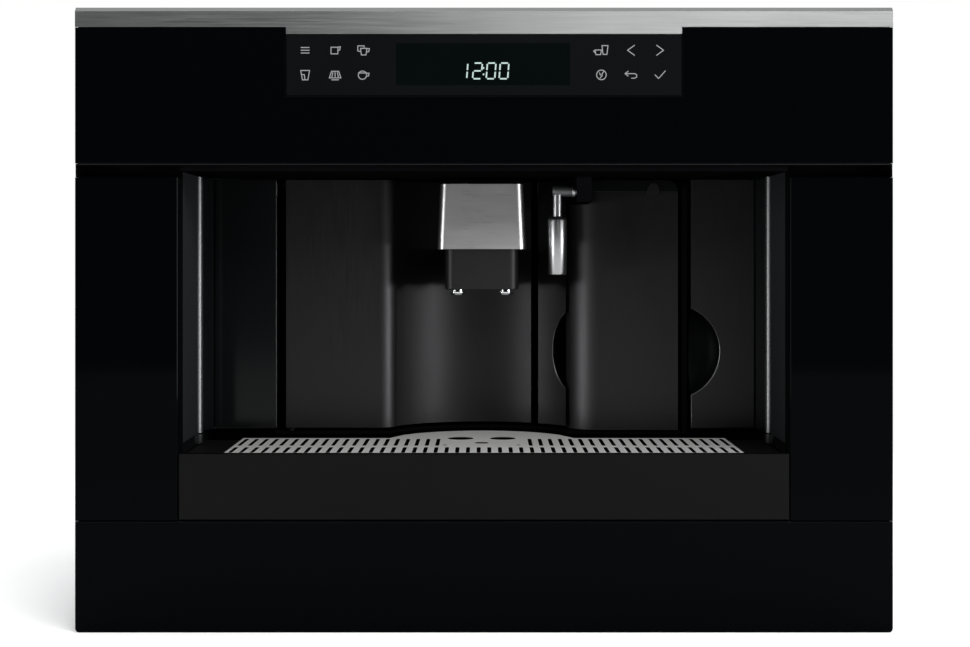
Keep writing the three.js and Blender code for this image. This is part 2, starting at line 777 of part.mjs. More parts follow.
function fascia() {
  const front = STRIP_T;
  piece('trim_strip', join(
    crosswise(outline([
      [0, STRIP_Z], [0, HEIGHT - STRIP_CHAMFER], [STRIP_CHAMFER, HEIGHT], [FASCIA_BACK, HEIGHT],
      [FASCIA_BACK, HEIGHT - STRIP_T], [STRIP_CHAMFER + STRIP_T, HEIGHT - STRIP_T],
      [front, HEIGHT - STRIP_CHAMFER - STRIP_T], [front, STRIP_Z],
    ]), -HALF, HALF),
    block(-CONTROL_W / 2, CONTROL_W / 2, 0, front, CONTROL_TOP, STRIP_Z + MARGIN),
  ), brushedStrip);

  const notch = CONTROL_W / 2 + FIT;
  const upperTop = STRIP_Z - FIT;
  piece('upper_glass', lengthwise(outline([
    [-HALF, UPPER_Z], [HALF, UPPER_Z], [HALF, upperTop], [notch, upperTop], [notch, CONTROL_Z - FIT],
    [-notch, CONTROL_Z - FIT], [-notch, upperTop], [-HALF, upperTop],
  ]), 0, GLASS_T, GLASS_BEVEL), blackGlass);
  piece('control_panel', lengthwise(
    rectangle(-CONTROL_W / 2, CONTROL_W / 2, CONTROL_Z, CONTROL_TOP - FIT),
    CONTROL_RECESS, GLASS_T, CONTROL_RECESS,
  ), smokedLens);
  const controlArea = (width, height, grow = 0) => rectangle(
    -width / 2 - grow, width / 2 + grow, CONTROL_MID - height / 2 - grow, CONTROL_MID + height / 2 + grow,
  );
  piece('display_board', join(
    lengthwise(controlArea(DISPLAY_W, DISPLAY_H), GLASS_T, GLASS_T * 2),
    lengthwise(controlArea(BOARD_W, BOARD_H), GLASS_T * 2 - FIT, GLASS_T * 2 + STRIP_T),
  ), boardGreen);

  const column = lengthwise(
    rectangle(NICHE_HALF + FIT, HALF, TRAY_BAY_Z, COLUMN_TOP), 0, GLASS_T, GLASS_BEVEL,
  );
  piece('column_glass_right', column, blackGlass);
  piece('column_glass_left', mirrored(column), blackGlass);
  piece('lower_glass', lengthwise(outline([
    ...arc(-HALF + LOWER_CORNER, LOWER_CORNER, LOWER_CORNER, 180, 270, 3),
    ...arc(HALF - LOWER_CORNER, LOWER_CORNER, LOWER_CORNER, 270, 360, 3),
    [HALF, LOWER_H], [-HALF, LOWER_H],
  ]), 0, GLASS_T, GLASS_BEVEL), blackGlass);

  const half = HALF - FRAME_INSET;
  const top = HEIGHT - STRIP_T - FIT * 2;
  const gap = (left, right) => block(
    left, right, GLASS_T - MARGIN, GRIP_GAP_D, COLUMN_TOP, UPPER_Z,
  );
  const stop = block(
    CASE_HALF + STOP_INSET, half - STOP_INSET, FASCIA_BACK - MARGIN, FASCIA_BACK + STOP_T,
    STOP_FOOT, top - STOP_HEAD,
  );
  const frame = pierced(lengthwise, rectangle(-half, half, FRAME_INSET, top), GLASS_T, FASCIA_BACK, [
    rectangle(-NICHE_HALF, NICHE_HALF, TRAY_BAY_Z, NICHE_TOP),
    controlArea(BOARD_W, BOARD_H, RUN),
  ]);
  piece('front_frame', cut(
    join(frame, stop, mirrored(stop)),
    gap(-HALF - MARGIN, -NICHE_HALF + MARGIN),
    gap(NICHE_HALF - MARGIN, HALF + MARGIN),
  ), blackPlastic);
}

// ---------------------------------------------------------------- cup niche

// Points down the right side wall in plan, moved out by offset, from BOW_D to a depth.
function bowLine(offset, depth, steps) {
  const turn = Math.asin((depth - BOW_D) / (BOW_R + offset));
  return arc(NICHE_HALF - BOW_R, BOW_D, BOW_R + offset, 0, THREE.MathUtils.radToDeg(turn), steps);
}

// The right side wall in plan: straight back, curving inwards, then across to the service bay.
function linerPlan() {
  return outline([
    [NICHE_HALF, FASCIA_BACK],
    ...bowLine(0, LINER_D, 7),
    [BAY_RIGHT, LINER_D],
    [BAY_RIGHT, LINER_D + WALL],
    ...bowLine(WALL, LINER_D + WALL, 7).reverse(),
    [NICHE_HALF + WALL, FASCIA_BACK],
  ]);
}

function niche() {
  const outside = NICHE_HALF + WALL;
  const roof = NICHE_TOP + WALL;
  const foot = NICHE_SEAM_Z + FIT;
  const scoopX = BAY_RIGHT - SCOOP_OFFSET;
  const bowl = (grow) => new THREE.SphereGeometry(1, 24, 16)
    .scale(SCOOP_R + grow, SCOOP_D + grow, SCOOP_R + grow)
    .translate(scoopX, FACE_D, SCOOP_Z);
  const right = upright(linerPlan(), foot, roof);
  piece('niche_liner', cut(
    join(
      right,
      mirrored(right),
      block(BAY_LEFT - MARGIN, -BAY_RIGHT, LINER_D, LINER_D + WALL, foot, roof),
      block(-outside, outside, FASCIA_BACK, CEILING_D, NICHE_TOP, roof),
    ),
    turned(rodProfile(HINGE_R + FIT, NICHE_TOP - MARGIN, roof + MARGIN), HINGE_X, HINGE_Y, 16),
    block(BAY_LEFT, 0, LINER_D - MARGIN, LINER_D + WALL + MARGIN, 0, NICHE_TOP - FIT),
    bowl(SKIN_T + RUN),
  ), glossPlastic);

  const [edge] = bowLine(-FIT, LINER_D, 1).pop();
  piece('niche_panel_left', block(
    -edge, BAY_LEFT, FACE_D, LINER_D, PANEL_BOTTOM, PANEL_TOP,
  ), glossPlastic);
  const behind = block(
    BAY_RIGHT, edge, FACE_D, FACE_D + SCOOP_D * 2, PANEL_BOTTOM, PANEL_TOP,
  );
  piece('niche_panel_right', cut(
    join(
      block(BAY_RIGHT, edge, FACE_D, LINER_D, PANEL_BOTTOM, PANEL_TOP),
      common(bowl(SKIN_T), behind),
    ),
    bowl(0),
  ), darkSteel);

  piece('alcove_panel', cut(
    upright(outline([
      ...alcoveLine(STRIP_LEFT, STRIP_RIGHT, 0, 5),
      [STRIP_RIGHT, STRIP_BACK],
      [STRIP_LEFT, STRIP_BACK],
    ]), PANEL_BOTTOM, PANEL_TOP),
    new THREE.SphereGeometry(1, 20, 14).scale(SCOOP_D, SCOOP_R, SCOOP_R - SKIN_T * 2)
      .translate(ALCOVE_RIGHT + SCOOP_INSET, alcove(ALCOVE_RIGHT - MARGIN), SCOOP_Z),
  ), darkSteel);

  const within = (front, back, low) => block(
    -NICHE_HALF, NICHE_HALF, front, back, low, NICHE_SEAM_Z + MARGIN,
  );
  piece('tray_bay', cut(
    block(-outside, outside, FASCIA_BACK, BAY_DEPTH, TRAY_BAY_Z - WALL, NICHE_SEAM_Z),
    within(FASCIA_BACK - MARGIN, BAY_DEPTH - WALL, TRAY_BAY_Z),
    within(BAY_DEPTH - WALL - MARGIN, BAY_DEPTH + MARGIN, BAY_FLOOR_Z - FIT),
  ), glossPlastic);
}

// ---------------------------------------------------------------- service bay

function serviceBay() {
  const left = BAY_LEFT - WALL;
  const back = BAY_BACK_D + WALL;
  const behindLiner = LINER_D + WALL + FIT;
  const floor = upright(outline([
    [left, behindLiner],
    [BAY_LEFT + FIT, behindLiner],
    ...doorLine(BAY_LEFT + FIT, ALCOVE_RIGHT - FIT, RUN),
    [ALCOVE_RIGHT, LINER_D],
    [RIB_RIGHT, LINER_D],
    [RIB_RIGHT, back],
    [left, back],
  ]), BAY_FLOOR_Z, BAY_FLOOR_TOP);
  const wall = (x0, x1, near) => block(x0, x1, near, back, BAY_FLOOR_Z, BAY_TOP);
  const floorHole = (radius, x, d, segments) => turned(
    rodProfile(radius, BAY_FLOOR_Z - MARGIN, BAY_FLOOR_TOP + MARGIN), x, d, segments,
  );
  piece('service_bay', cut(
    join(
      floor,
      wall(left, BAY_LEFT, behindLiner),
      wall(BAY_DIVIDER, BAY_DIVIDER + WALL, STRIP_BACK),
      wall(RIB_LEFT, RIB_RIGHT, FACE_D + FIT),
      wall(left, RIB_RIGHT, BAY_BACK_D),
    ),
    floorHole(HINGE_R + FIT, HINGE_X, HINGE_Y, 16),
    floorHole(SPINDLE_R + RUN, BREW_X, SPINDLE_D, 12),
    turnedLengthwise(
      rodProfile(OUTLET_R + FIT, BAY_BACK_D - MARGIN, back + MARGIN), TANK_MID, OUTLET_Z, 16,
    ),
  ), greyPlastic);
}

// ---------------------------------------------------------------- service door and spout

// Keeps what lies in front of the alcove's face.
function insideAlcove(geometry) {
  const room = upright(circle(ALCOVE_X, ALCOVE_D, ALCOVE_R - FIT, 96), PANEL_BOTTOM, PANEL_TOP);
  return common(geometry, room);
}

function door() {
  piece('door_panel', upright(
    doorPlate(DOOR_LEFT, DOOR_RIGHT, 0, SKIN_T), PANEL_BOTTOM, PANEL_TOP,
  ), darkSteel);

  const near = SKIN_T + FIT;
  const right = DOOR_RIGHT - DOOR_END_INSET;
  const shell = upright(doorPlate(DOOR_LEFT, right, near, DOOR_T), PANEL_BOTTOM, PANEL_TOP);
  const pocket = upright(
    doorPlate(DOOR_LEFT + DOOR_WALL, right - DOOR_WALL, near + DOOR_WALL, DOOR_T + MARGIN),
    PANEL_BOTTOM + DOOR_WALL, PANEL_TOP - DOOR_WALL,
  );
  const hingePost = turned(
    rodProfile(HINGE_R + DOOR_WALL, PANEL_BOTTOM + MARGIN, PANEL_TOP - MARGIN),
    HINGE_X + DOOR_WALL, HINGE_Y + DOOR_WALL, 16,
  );
  const pin = turned(
    rodProfile(HINGE_R, BAY_FLOOR_Z, NICHE_TOP + WALL - FIT), HINGE_X, HINGE_Y, 16,
  );
  piece('door_frame', join(cut(shell, pocket), common(hingePost, shell), pin), blackPlastic);
}

// Narrows the spout cover evenly towards its top.
function tapered(geometry) {
  const place = geometry.attributes.position;
  for (let i = 0; i < place.count; i += 1) {
    const rise = (place.getZ(i) - COVER_BOTTOM) / (COVER_TOP - COVER_BOTTOM);
    const scale = 1 - rise * COVER_TAPER / COVER_W;
    place.setX(i, ALCOVE_X + (place.getX(i) - ALCOVE_X) * scale);
  }
  return geometry;
}

function spout() {
  const half = COVER_W / 2;
  const middle = half - COVER_CORNER;
  const cornerD = COVER_FRONT_D + COVER_CORNER;
  const coverShape = (inset, back) => outline([
    ...arc(ALCOVE_X + middle, cornerD, COVER_CORNER - inset, 270, 360, 4),
    [ALCOVE_X + half - inset, back],
    [ALCOVE_X - half + inset, back],
    ...arc(ALCOVE_X - middle, cornerD, COVER_CORNER - inset, 180, 270, 4),
  ]);
  const shell = cut(
    upright(coverShape(0, STRIP_BACK), COVER_BOTTOM, COVER_TOP),
    upright(coverShape(COVER_T, STRIP_BACK + MARGIN), COVER_BOTTOM - MARGIN, COVER_TOP - COVER_T),
  );
  piece('spout_cover', insideAlcove(tapered(shell)), spoutSteel);

  const headD = BLOCK_BACK_D - RAIL_HEAD_T - RUN - SKIN_T;
  const railHigh = COVER_TOP - COVER_T - FIT;
  const across = (width, near, far, low, high) => block(
    ALCOVE_X - width / 2, ALCOVE_X + width / 2, near, far, low, high,
  );
  piece('spout_rail', insideAlcove(join(
    across(RAIL_HEAD_W, headD, headD + RAIL_HEAD_T, RAIL_BOTTOM, railHigh),
    across(RAIL_NECK_W, headD, STRIP_BACK, RAIL_BOTTOM, railHigh),
  )), blackPlastic);

  const [x0, x1] = [ALCOVE_X - BLOCK_W / 2, ALCOVE_X + BLOCK_W / 2];
  const body = upright(
    softRectangle(x0, x1, SPOUT_INSIDE_D + MARGIN, BLOCK_BACK_D, BLOCK_CORNER, 4),
    BLOCK_BOTTOM, BLOCK_TOP,
  );
  const slot = (width, near, far) => across(
    width + RUN * 2, near, far, BLOCK_BOTTOM - MARGIN, BLOCK_TOP + MARGIN,
  );
  const outlets = [-1, 1].map((side) => ALCOVE_X + side * NOZZLE_PITCH / 2);
  const neckTop = NOZZLE_BOTTOM + NOZZLE_NECK_H + SKIN_T;
  const socket = rodProfile(NOZZLE_NECK_R + FIT, BLOCK_BOTTOM - MARGIN, neckTop + FIT);
  piece('spout_block', cut(
    body,
    slot(RAIL_HEAD_W, headD - RUN, headD + RAIL_HEAD_T + RUN),
    slot(RAIL_NECK_W, headD, BLOCK_BACK_D + MARGIN),
    ...outlets.map((x) => turned(socket, x, NOZZLE_D, 16)),
  ), blackPlastic);
  ['left', 'right'].forEach((side, i) => {
    piece(`nozzle_${side}`, turned([
      [NOZZLE_BORE_R, NOZZLE_BOTTOM], [NOZZLE_NECK_R, NOZZLE_BOTTOM], [NOZZLE_R, NOZZLE_BOTTOM + 1],
      [NOZZLE_R, BLOCK_BOTTOM - FIT], [NOZZLE_NECK_R, BLOCK_BOTTOM - FIT], [NOZZLE_NECK_R, neckTop],
      [NOZZLE_BORE_R, neckTop], [NOZZLE_BORE_R, NOZZLE_BOTTOM],
    ], outlets[i], NOZZLE_D, 16), chrome);
  });
}

// ---------------------------------------------------------------- drip tray

// A slot with round ends, lengthwise in plan.
function slotHole(x, from, to) {
  const r = SLOT_W / 2;
  return outline([...arc(x, to - r, r, 0, 180, 3), ...arc(x, from + r, r, 180, 360, 3)]);
}

function tray() {
  const floor = TRAY_BAY_Z + FIT;
  piece('tray_front', lengthwise(
    rectangle(-NICHE_HALF + RUN, NICHE_HALF - RUN, LOWER_H + TRAY_SEAM, TRAY_FRONT_TOP),
    0, TRAY_FRONT_T, GLASS_BEVEL,
  ), trayPlastic);

  const back = FACE_D - TRAY_BACK_GAP;
  const inner = GRID_W / 2 - GRID_REST;
  const plan = trayPlan(NICHE_HALF - RUN * 2, TRAY_FRONT_T, back, TRAY_LOBE);
  const basin = trayPlan(inner, GRID_FRONT + GRID_REST, GRID_BACK - GRID_REST, -GRID_WAVE_GAP - GRID_REST);
  const sideHollow = block(
    inner + WALL, NICHE_HALF - RUN * 2 - WALL, TRAY_FRONT_T + WALL, back - WALL,
    floor - MARGIN, TRAY_TOP - WALL,
  );
  piece('drip_tray', cut(
    upright(plan, floor, TRAY_TOP),
    upright(basin, floor + WALL, TRAY_TOP + MARGIN),
    sideHollow,
    mirrored(sideHollow),
  ), trayPlastic);

  const mid = (SLOT_COUNT - 1) / 2;
  const slots = [];
  for (let i = 0; i < SLOT_COUNT; i += 1) {
    const x = (i - mid) * SLOT_PITCH;
    slots.push(slotHole(x, ...NEAR_SLOTS));
    if (Math.abs(i - mid) > CLEAR_SLOTS / 2) slots.push(slotHole(x, ...FAR_SLOTS));
  }
  for (const side of [-1, 1]) {
    slots.push(circle(ALCOVE_X + side * CUP_HOLE_PITCH / 2, CUP_HOLE_D, CUP_HOLE_R, 20));
    slots.push(circle(ALCOVE_X + side * DRAIN_HOLE_PITCH / 2, DRAIN_HOLE_D, DRAIN_HOLE_R, 8));
  }
  slots.push(circle(ALCOVE_X, FLOAT_D, FLOAT_HOLE_R, 16));
  const gridPlan = trayPlan(GRID_W / 2, GRID_FRONT, GRID_BACK, -GRID_WAVE_GAP);
  piece('drip_grid', pierced(upright, gridPlan, GRID_TOP - GRID_T, GRID_TOP, slots), gridSteel);

  const rest = floor + WALL + FIT;
  const disc = rest + FLOAT_DISC_H;
  piece('tray_float', turned([
    [0, rest], [FLOAT_R, rest], [FLOAT_R, disc], [FLOAT_STEM_R, disc + SKIN_T],
    [FLOAT_STEM_R, GRID_TOP - GRID_T], [FLOAT_STEM_R - 1, GRID_TOP - FIT], [0, GRID_TOP - FIT],
  ], ALCOVE_X, FLOAT_D, 20), redPlastic);
}

// ---------------------------------------------------------------- water tank

// Plan of the tank with its convex left front edge, moved in by inset.
function tankPlan(inset, back) {
  const left = TANK_LEFT + inset;
  const front = FACE_D + inset;
  const turn = TANK_ROLL_R;
  return [
    [TANK_RIGHT - inset, back], [left, back],
    ...arc(TANK_LEFT + turn, FACE_D + turn, turn - inset, 180, 270, 6),
    [TANK_RIGHT - inset, front],
  ];
}

function tank() {
  const notch = (reach, low) => block(
    TANK_LEFT - MARGIN, NOTCH_X + reach, FACE_D - MARGIN, TANK_BACK_D + MARGIN, low, LID_TOP + MARGIN,
  );
  const skinEnd = FACE_D + TANK_ROLL_R;
  const skin = outline([
    ...arc(TANK_LEFT + TANK_ROLL_R, skinEnd, TANK_ROLL_R, 180, 270, 8),
    [TANK_RIGHT, FACE_D], [TANK_RIGHT, FACE_D + TANK_SKIN_T],
    ...arc(TANK_LEFT + TANK_ROLL_R, skinEnd, TANK_ROLL_R - TANK_SKIN_T, 270, 180, 8),
  ]);
  piece('tank_front', cut(upright(skin, TANK_BOTTOM, TANK_TOP), notch(0, NOTCH_Z)), darkSteel);

  const inset = TANK_SKIN_T + FIT;
  const bottom = TANK_BOTTOM + MARGIN;
  const outlet = turnedLengthwise(
    rodProfile(OUTLET_R, TANK_BACK_D - WALL, TANK_BACK_D + OUTLET_L), TANK_MID, OUTLET_Z, 16,
  );
  const outletBore = turnedLengthwise(
    rodProfile(OUTLET_R / 2, TANK_BACK_D - WALL * 3, TANK_BACK_D + OUTLET_L + MARGIN),
    TANK_MID, OUTLET_Z, 12,
  );
  const inside = outline(tankPlan(inset + TANK_WALL, TANK_BACK_D - TANK_WALL));
  const room = cut(
    upright(inside, bottom + TANK_WALL, TANK_TOP + MARGIN),
    notch(TANK_WALL, NOTCH_Z - TANK_WALL),
  );
  piece('water_tank', cut(
    join(upright(outline(tankPlan(inset, TANK_BACK_D)), bottom, TANK_TOP - FIT), outlet),
    notch(0, NOTCH_Z),
    room,
    outletBore,
  ), smokedPlastic);

  const lidLeft = NOTCH_X + FIT;
  const profile = (inset2, low) => outline([
    [lidLeft + inset2, low], [TANK_RIGHT - inset2, low],
    ...arc(TANK_RIGHT - LID_CORNER, LID_TOP - LID_CORNER, LID_CORNER - inset2, 0, 90, 5),
    [lidLeft + inset2, LID_TOP - inset2],
  ]);
  piece('tank_lid', cut(
    lengthwise(profile(0, TANK_TOP), FACE_D, TANK_BACK_D),
    lengthwise(
      profile(TANK_SKIN_T, TANK_TOP - MARGIN), FACE_D + TANK_SKIN_T, TANK_BACK_D - TANK_SKIN_T,
    ),
  ), glossPlastic);
}

// ---------------------------------------------------------------- steam pipe

function steamPipe() {
  const ringLeft = WAND_X + RING_OFFSET;
  const bossLeft = ringLeft + RING_W + FIT;
  const bossRight = NOTCH_X - FIT;
  const bossFront = PIPE_D - SLEEVE_TOP_R;
  piece('steam_block', cut(
    upright(outline([
      [bossLeft, bossFront], [bossRight, bossFront], [bossRight, CEILING_D],
      [TANK_LEFT, CEILING_D], [TANK_LEFT, FACE_D + TANK_ROLL_R / 2], [bossLeft, FACE_D],
    ]), NOTCH_Z + RUN, NICHE_TOP),
    turnedCrosswise(
      rodProfile(PIPE_R + FIT, bossLeft - MARGIN, bossLeft + BOSS_DEPTH + FIT), PIPE_D, PIPE_Z, 24,
    ),
  ), glossPlastic);

  const end = WAND_X - PIPE_R;
  const stub = turnedCrosswise([
    [0, end], [PIPE_R - 1, end], [PIPE_R, end + 1], [PIPE_R, ringLeft], [RING_R, ringLeft],
    [RING_R, ringLeft + RING_W], [PIPE_R, ringLeft + RING_W], [PIPE_R, bossLeft + BOSS_DEPTH],
    [0, bossLeft + BOSS_DEPTH],
  ], PIPE_D, PIPE_Z, 24);
  piece('steam_pipe', join(
    stub,
    turned(rodProfile(WAND_R, WAND_BOTTOM, PIPE_Z), WAND_X, PIPE_D, 20),
  ), chrome);

  const bore = WAND_R + FIT;
  const airHole = rodProfile(AIR_HOLE_R, PIPE_D - SLEEVE_TOP_R - MARGIN, PIPE_D);
  piece('frother_sleeve', cut(
    turned([
      [bore, SLEEVE_BOTTOM], [SLEEVE_FOOT_R, SLEEVE_BOTTOM],
      [SLEEVE_TOP_R, SLEEVE_TOP - SLEEVE_CHAMFER], [SLEEVE_TOP_R - SLEEVE_CHAMFER, SLEEVE_TOP],
      [bore, SLEEVE_TOP], [bore, SLEEVE_BOTTOM],
    ], WAND_X, PIPE_D, 24),
    turnedLengthwise(airHole, WAND_X, SLEEVE_TOP - SLEEVE_CHAMFER - AIR_HOLE_R, 10),
  ), chrome);
}

// ---------------------------------------------------------------- grinder and hopper

function grinder() {
  const motorX = BAY_LEFT - WALL - GRIND_MOTOR_R - RUN * 4;
  const halfNeck = MILL_NECK_W / 2;
  const shaftR = BURR_R / 4;
  const shaftLow = BURR_FLOOR - BURR_BOSS_H;
  const drum = turned([
    [0, MILL_BOTTOM], [MILL_R - MILL_CHAMFER, MILL_BOTTOM], [MILL_R, MILL_BOTTOM + MILL_CHAMFER],
    [MILL_R, MILL_TOP], [0, MILL_TOP],
  ], MILL_X, MILL_D, 32);
  piece('grinder_housing', cut(
    join(drum, block(
      motorX - GRIND_MOTOR_R, MILL_X, MILL_D - halfNeck, MILL_D + halfNeck, MILL_BOTTOM, BURR_FLOOR,
    )),
    turned(rodProfile(BURR_R + RUN, BURR_FLOOR, MILL_TOP + MARGIN), MILL_X, MILL_D, 32),
    turned(rodProfile(shaftR + RUN, shaftLow, BURR_FLOOR + MARGIN), MILL_X, MILL_D, 16),
  ), blackPlastic);

  const foot = MILL_BOTTOM - GRIND_MOTOR_L;
  const rim = GRIND_MOTOR_R - BURR_CONE_TOP;
  piece('grinder_motor', turned([
    [0, foot], [SPINDLE_R, foot], [SPINDLE_R, foot + SPINDLE_R], [rim, foot + SPINDLE_R],
    [GRIND_MOTOR_R, foot + SPINDLE_R * 2], [GRIND_MOTOR_R, MILL_BOTTOM - SPINDLE_R],
    [GRIND_MOTOR_END_R, MILL_BOTTOM - SKIN_T], [GRIND_MOTOR_END_R, MILL_BOTTOM], [0, MILL_BOTTOM],
  ], motorX, MILL_D, 24), galvanised);

  const plate = BURR_FLOOR + MARGIN;
  const coneR = BURR_R - BURR_BOSS_H;
  const coneLow = plate + BURR_RING_W;
  const coneTop = MILL_TOP - BURR_CONE_TOP;
  const cone = turned([
    [0, shaftLow + MARGIN], [shaftR, shaftLow + MARGIN], [shaftR, plate], [BURR_R - SKIN_T, plate],
    [BURR_R - SKIN_T, coneLow], [coneR, coneLow + SKIN_T], [coneR * 0.7, coneLow + BURR_BOSS_H],
    [shaftR, coneTop - BURR_CONE_TOP], [BURR_CONE_TOP, coneTop], [0, coneTop],
  ], MILL_X, MILL_D, BURR_FLUTES * 4);
  piece('lower_burr', fluted(
    cone, MILL_X, MILL_D, coneLow, BURR_FLUTES, BURR_FLUTE_DEPTH, BURR_TWIST,
  ), burrSteel);
  const ringLow = coneLow + BURR_CONE_TOP;
  const ringIn = BURR_R - BURR_RING_W;
  piece('upper_burr', turned([
    [ringIn, ringLow], [BURR_R, ringLow], [BURR_R, MILL_TOP], [HOPPER_NECK_R - MARGIN, MILL_TOP],
    [coneR * 0.7, coneTop - BURR_CONE_TOP], [coneR + SKIN_T, ringLow + SKIN_T], [ringIn, ringLow],
  ], MILL_X, MILL_D, 24), burrSteel);

  const rimZ = CASE_TOP - SHEET - FIT;
  const shoulder = rimZ - HOPPER_RIM_H;
  const neckTop = HOPPER_NECK_Z + HOPPER_NECK_H;
  const inside = HOPPER_HALF - HOPPER_WALL;
  const insideCorner = HOPPER_CORNER - HOPPER_WALL;
  const bore = HOPPER_NECK_R - HOPPER_WALL;
  piece('bean_hopper', wallThrough([
    ring(MILL_X, MILL_D, HOPPER_NECK_Z, HOPPER_NECK_R, HOPPER_NECK_R),
    ring(MILL_X, MILL_D, neckTop, HOPPER_NECK_R, HOPPER_NECK_R),
    ring(MILL_X, MILL_D, shoulder, HOPPER_HALF, HOPPER_CORNER),
    ring(MILL_X, MILL_D, rimZ, HOPPER_HALF, HOPPER_CORNER),
    ring(MILL_X, MILL_D, rimZ, inside, insideCorner),
    ring(MILL_X, MILL_D, shoulder + HOPPER_WALL / 2, inside, insideCorner),
    ring(MILL_X, MILL_D, neckTop + HOPPER_WALL / 2, bore, bore),
    ring(MILL_X, MILL_D, HOPPER_NECK_Z, bore, bore),
  ]), smokedPlastic);
}

// The hopper's lid, with two arms that end in pins, and the grind setting's knob.
function hopperLid() {
  const armX = EAR_W / 2 + LID_ARM_W;
  const pins = LID_EARS.flatMap((x) => {
    const inward = x < MILL_X ? x + armX : x - armX;
    const far = inward > x ? x - EAR_W / 2 : x + EAR_W / 2;
    const [from, to] = [Math.min(far, inward), Math.max(far, inward)];
    return [
      turnedCrosswise(rodProfile(LID_PIN_R, from, to), LID_PIN_D, LID_PIN_Z, 12),
      block(
        inward - LID_ARM_W / 2, inward + LID_ARM_W / 2, MILL_D + LID_HALF - LID_ARM_W / 2,
        LID_PIN_D + LID_PIN_R, LID_LOW + MARGIN, LID_PIN_Z + LID_PIN_R,
      ),
    ];
  });
  const plate = softRectangle(
    MILL_X - LID_HALF, MILL_X + LID_HALF, MILL_D - LID_HALF, MILL_D + LID_HALF,
    HOPPER_CORNER + LID_OVERHANG, 4,
  );
  const front = MILL_D - LID_HALF;
  piece('hopper_lid', join(
    upright(plate, LID_LOW, LID_LOW + LID_T),
    block(
      MILL_X - LID_TAB_W / 2, MILL_X + LID_TAB_W / 2, front - LID_TAB_L, front + LID_TAB_L,
      LID_LOW + MARGIN, LID_LOW + LID_T,
    ),
    ...pins,
  ), smokedPlastic);

  const lobed = [];
  for (let i = 0; i < KNOB_LOBES * 4; i += 1) {
    const a = i / (KNOB_LOBES * 4) * Math.PI * 2;
    const r = KNOB_R + Math.cos(a * KNOB_LOBES) * KNOB_LOBE_H;
    lobed.push([KNOB_X + r * Math.cos(a), MILL_D + r * Math.sin(a)]);
  }
  const knobTop = LID_LOW + KNOB_H;
  piece('grind_knob', join(
    upright(outline(lobed), LID_LOW, knobTop),
    block(
      KNOB_X - KNOB_MARK_W / 2, KNOB_X + KNOB_MARK_W / 2, MILL_D - KNOB_R + SKIN_T, MILL_D,
      knobTop - MARGIN, knobTop + MARGIN,
    ),
    turned(rodProfile(KNOB_SHAFT_R, CASE_TOP - KNOB_SHAFT_L, LID_LOW + MARGIN), KNOB_X, MILL_D, 16),
  ), blackPlastic);
}

// ---------------------------------------------------------------- brewing unit

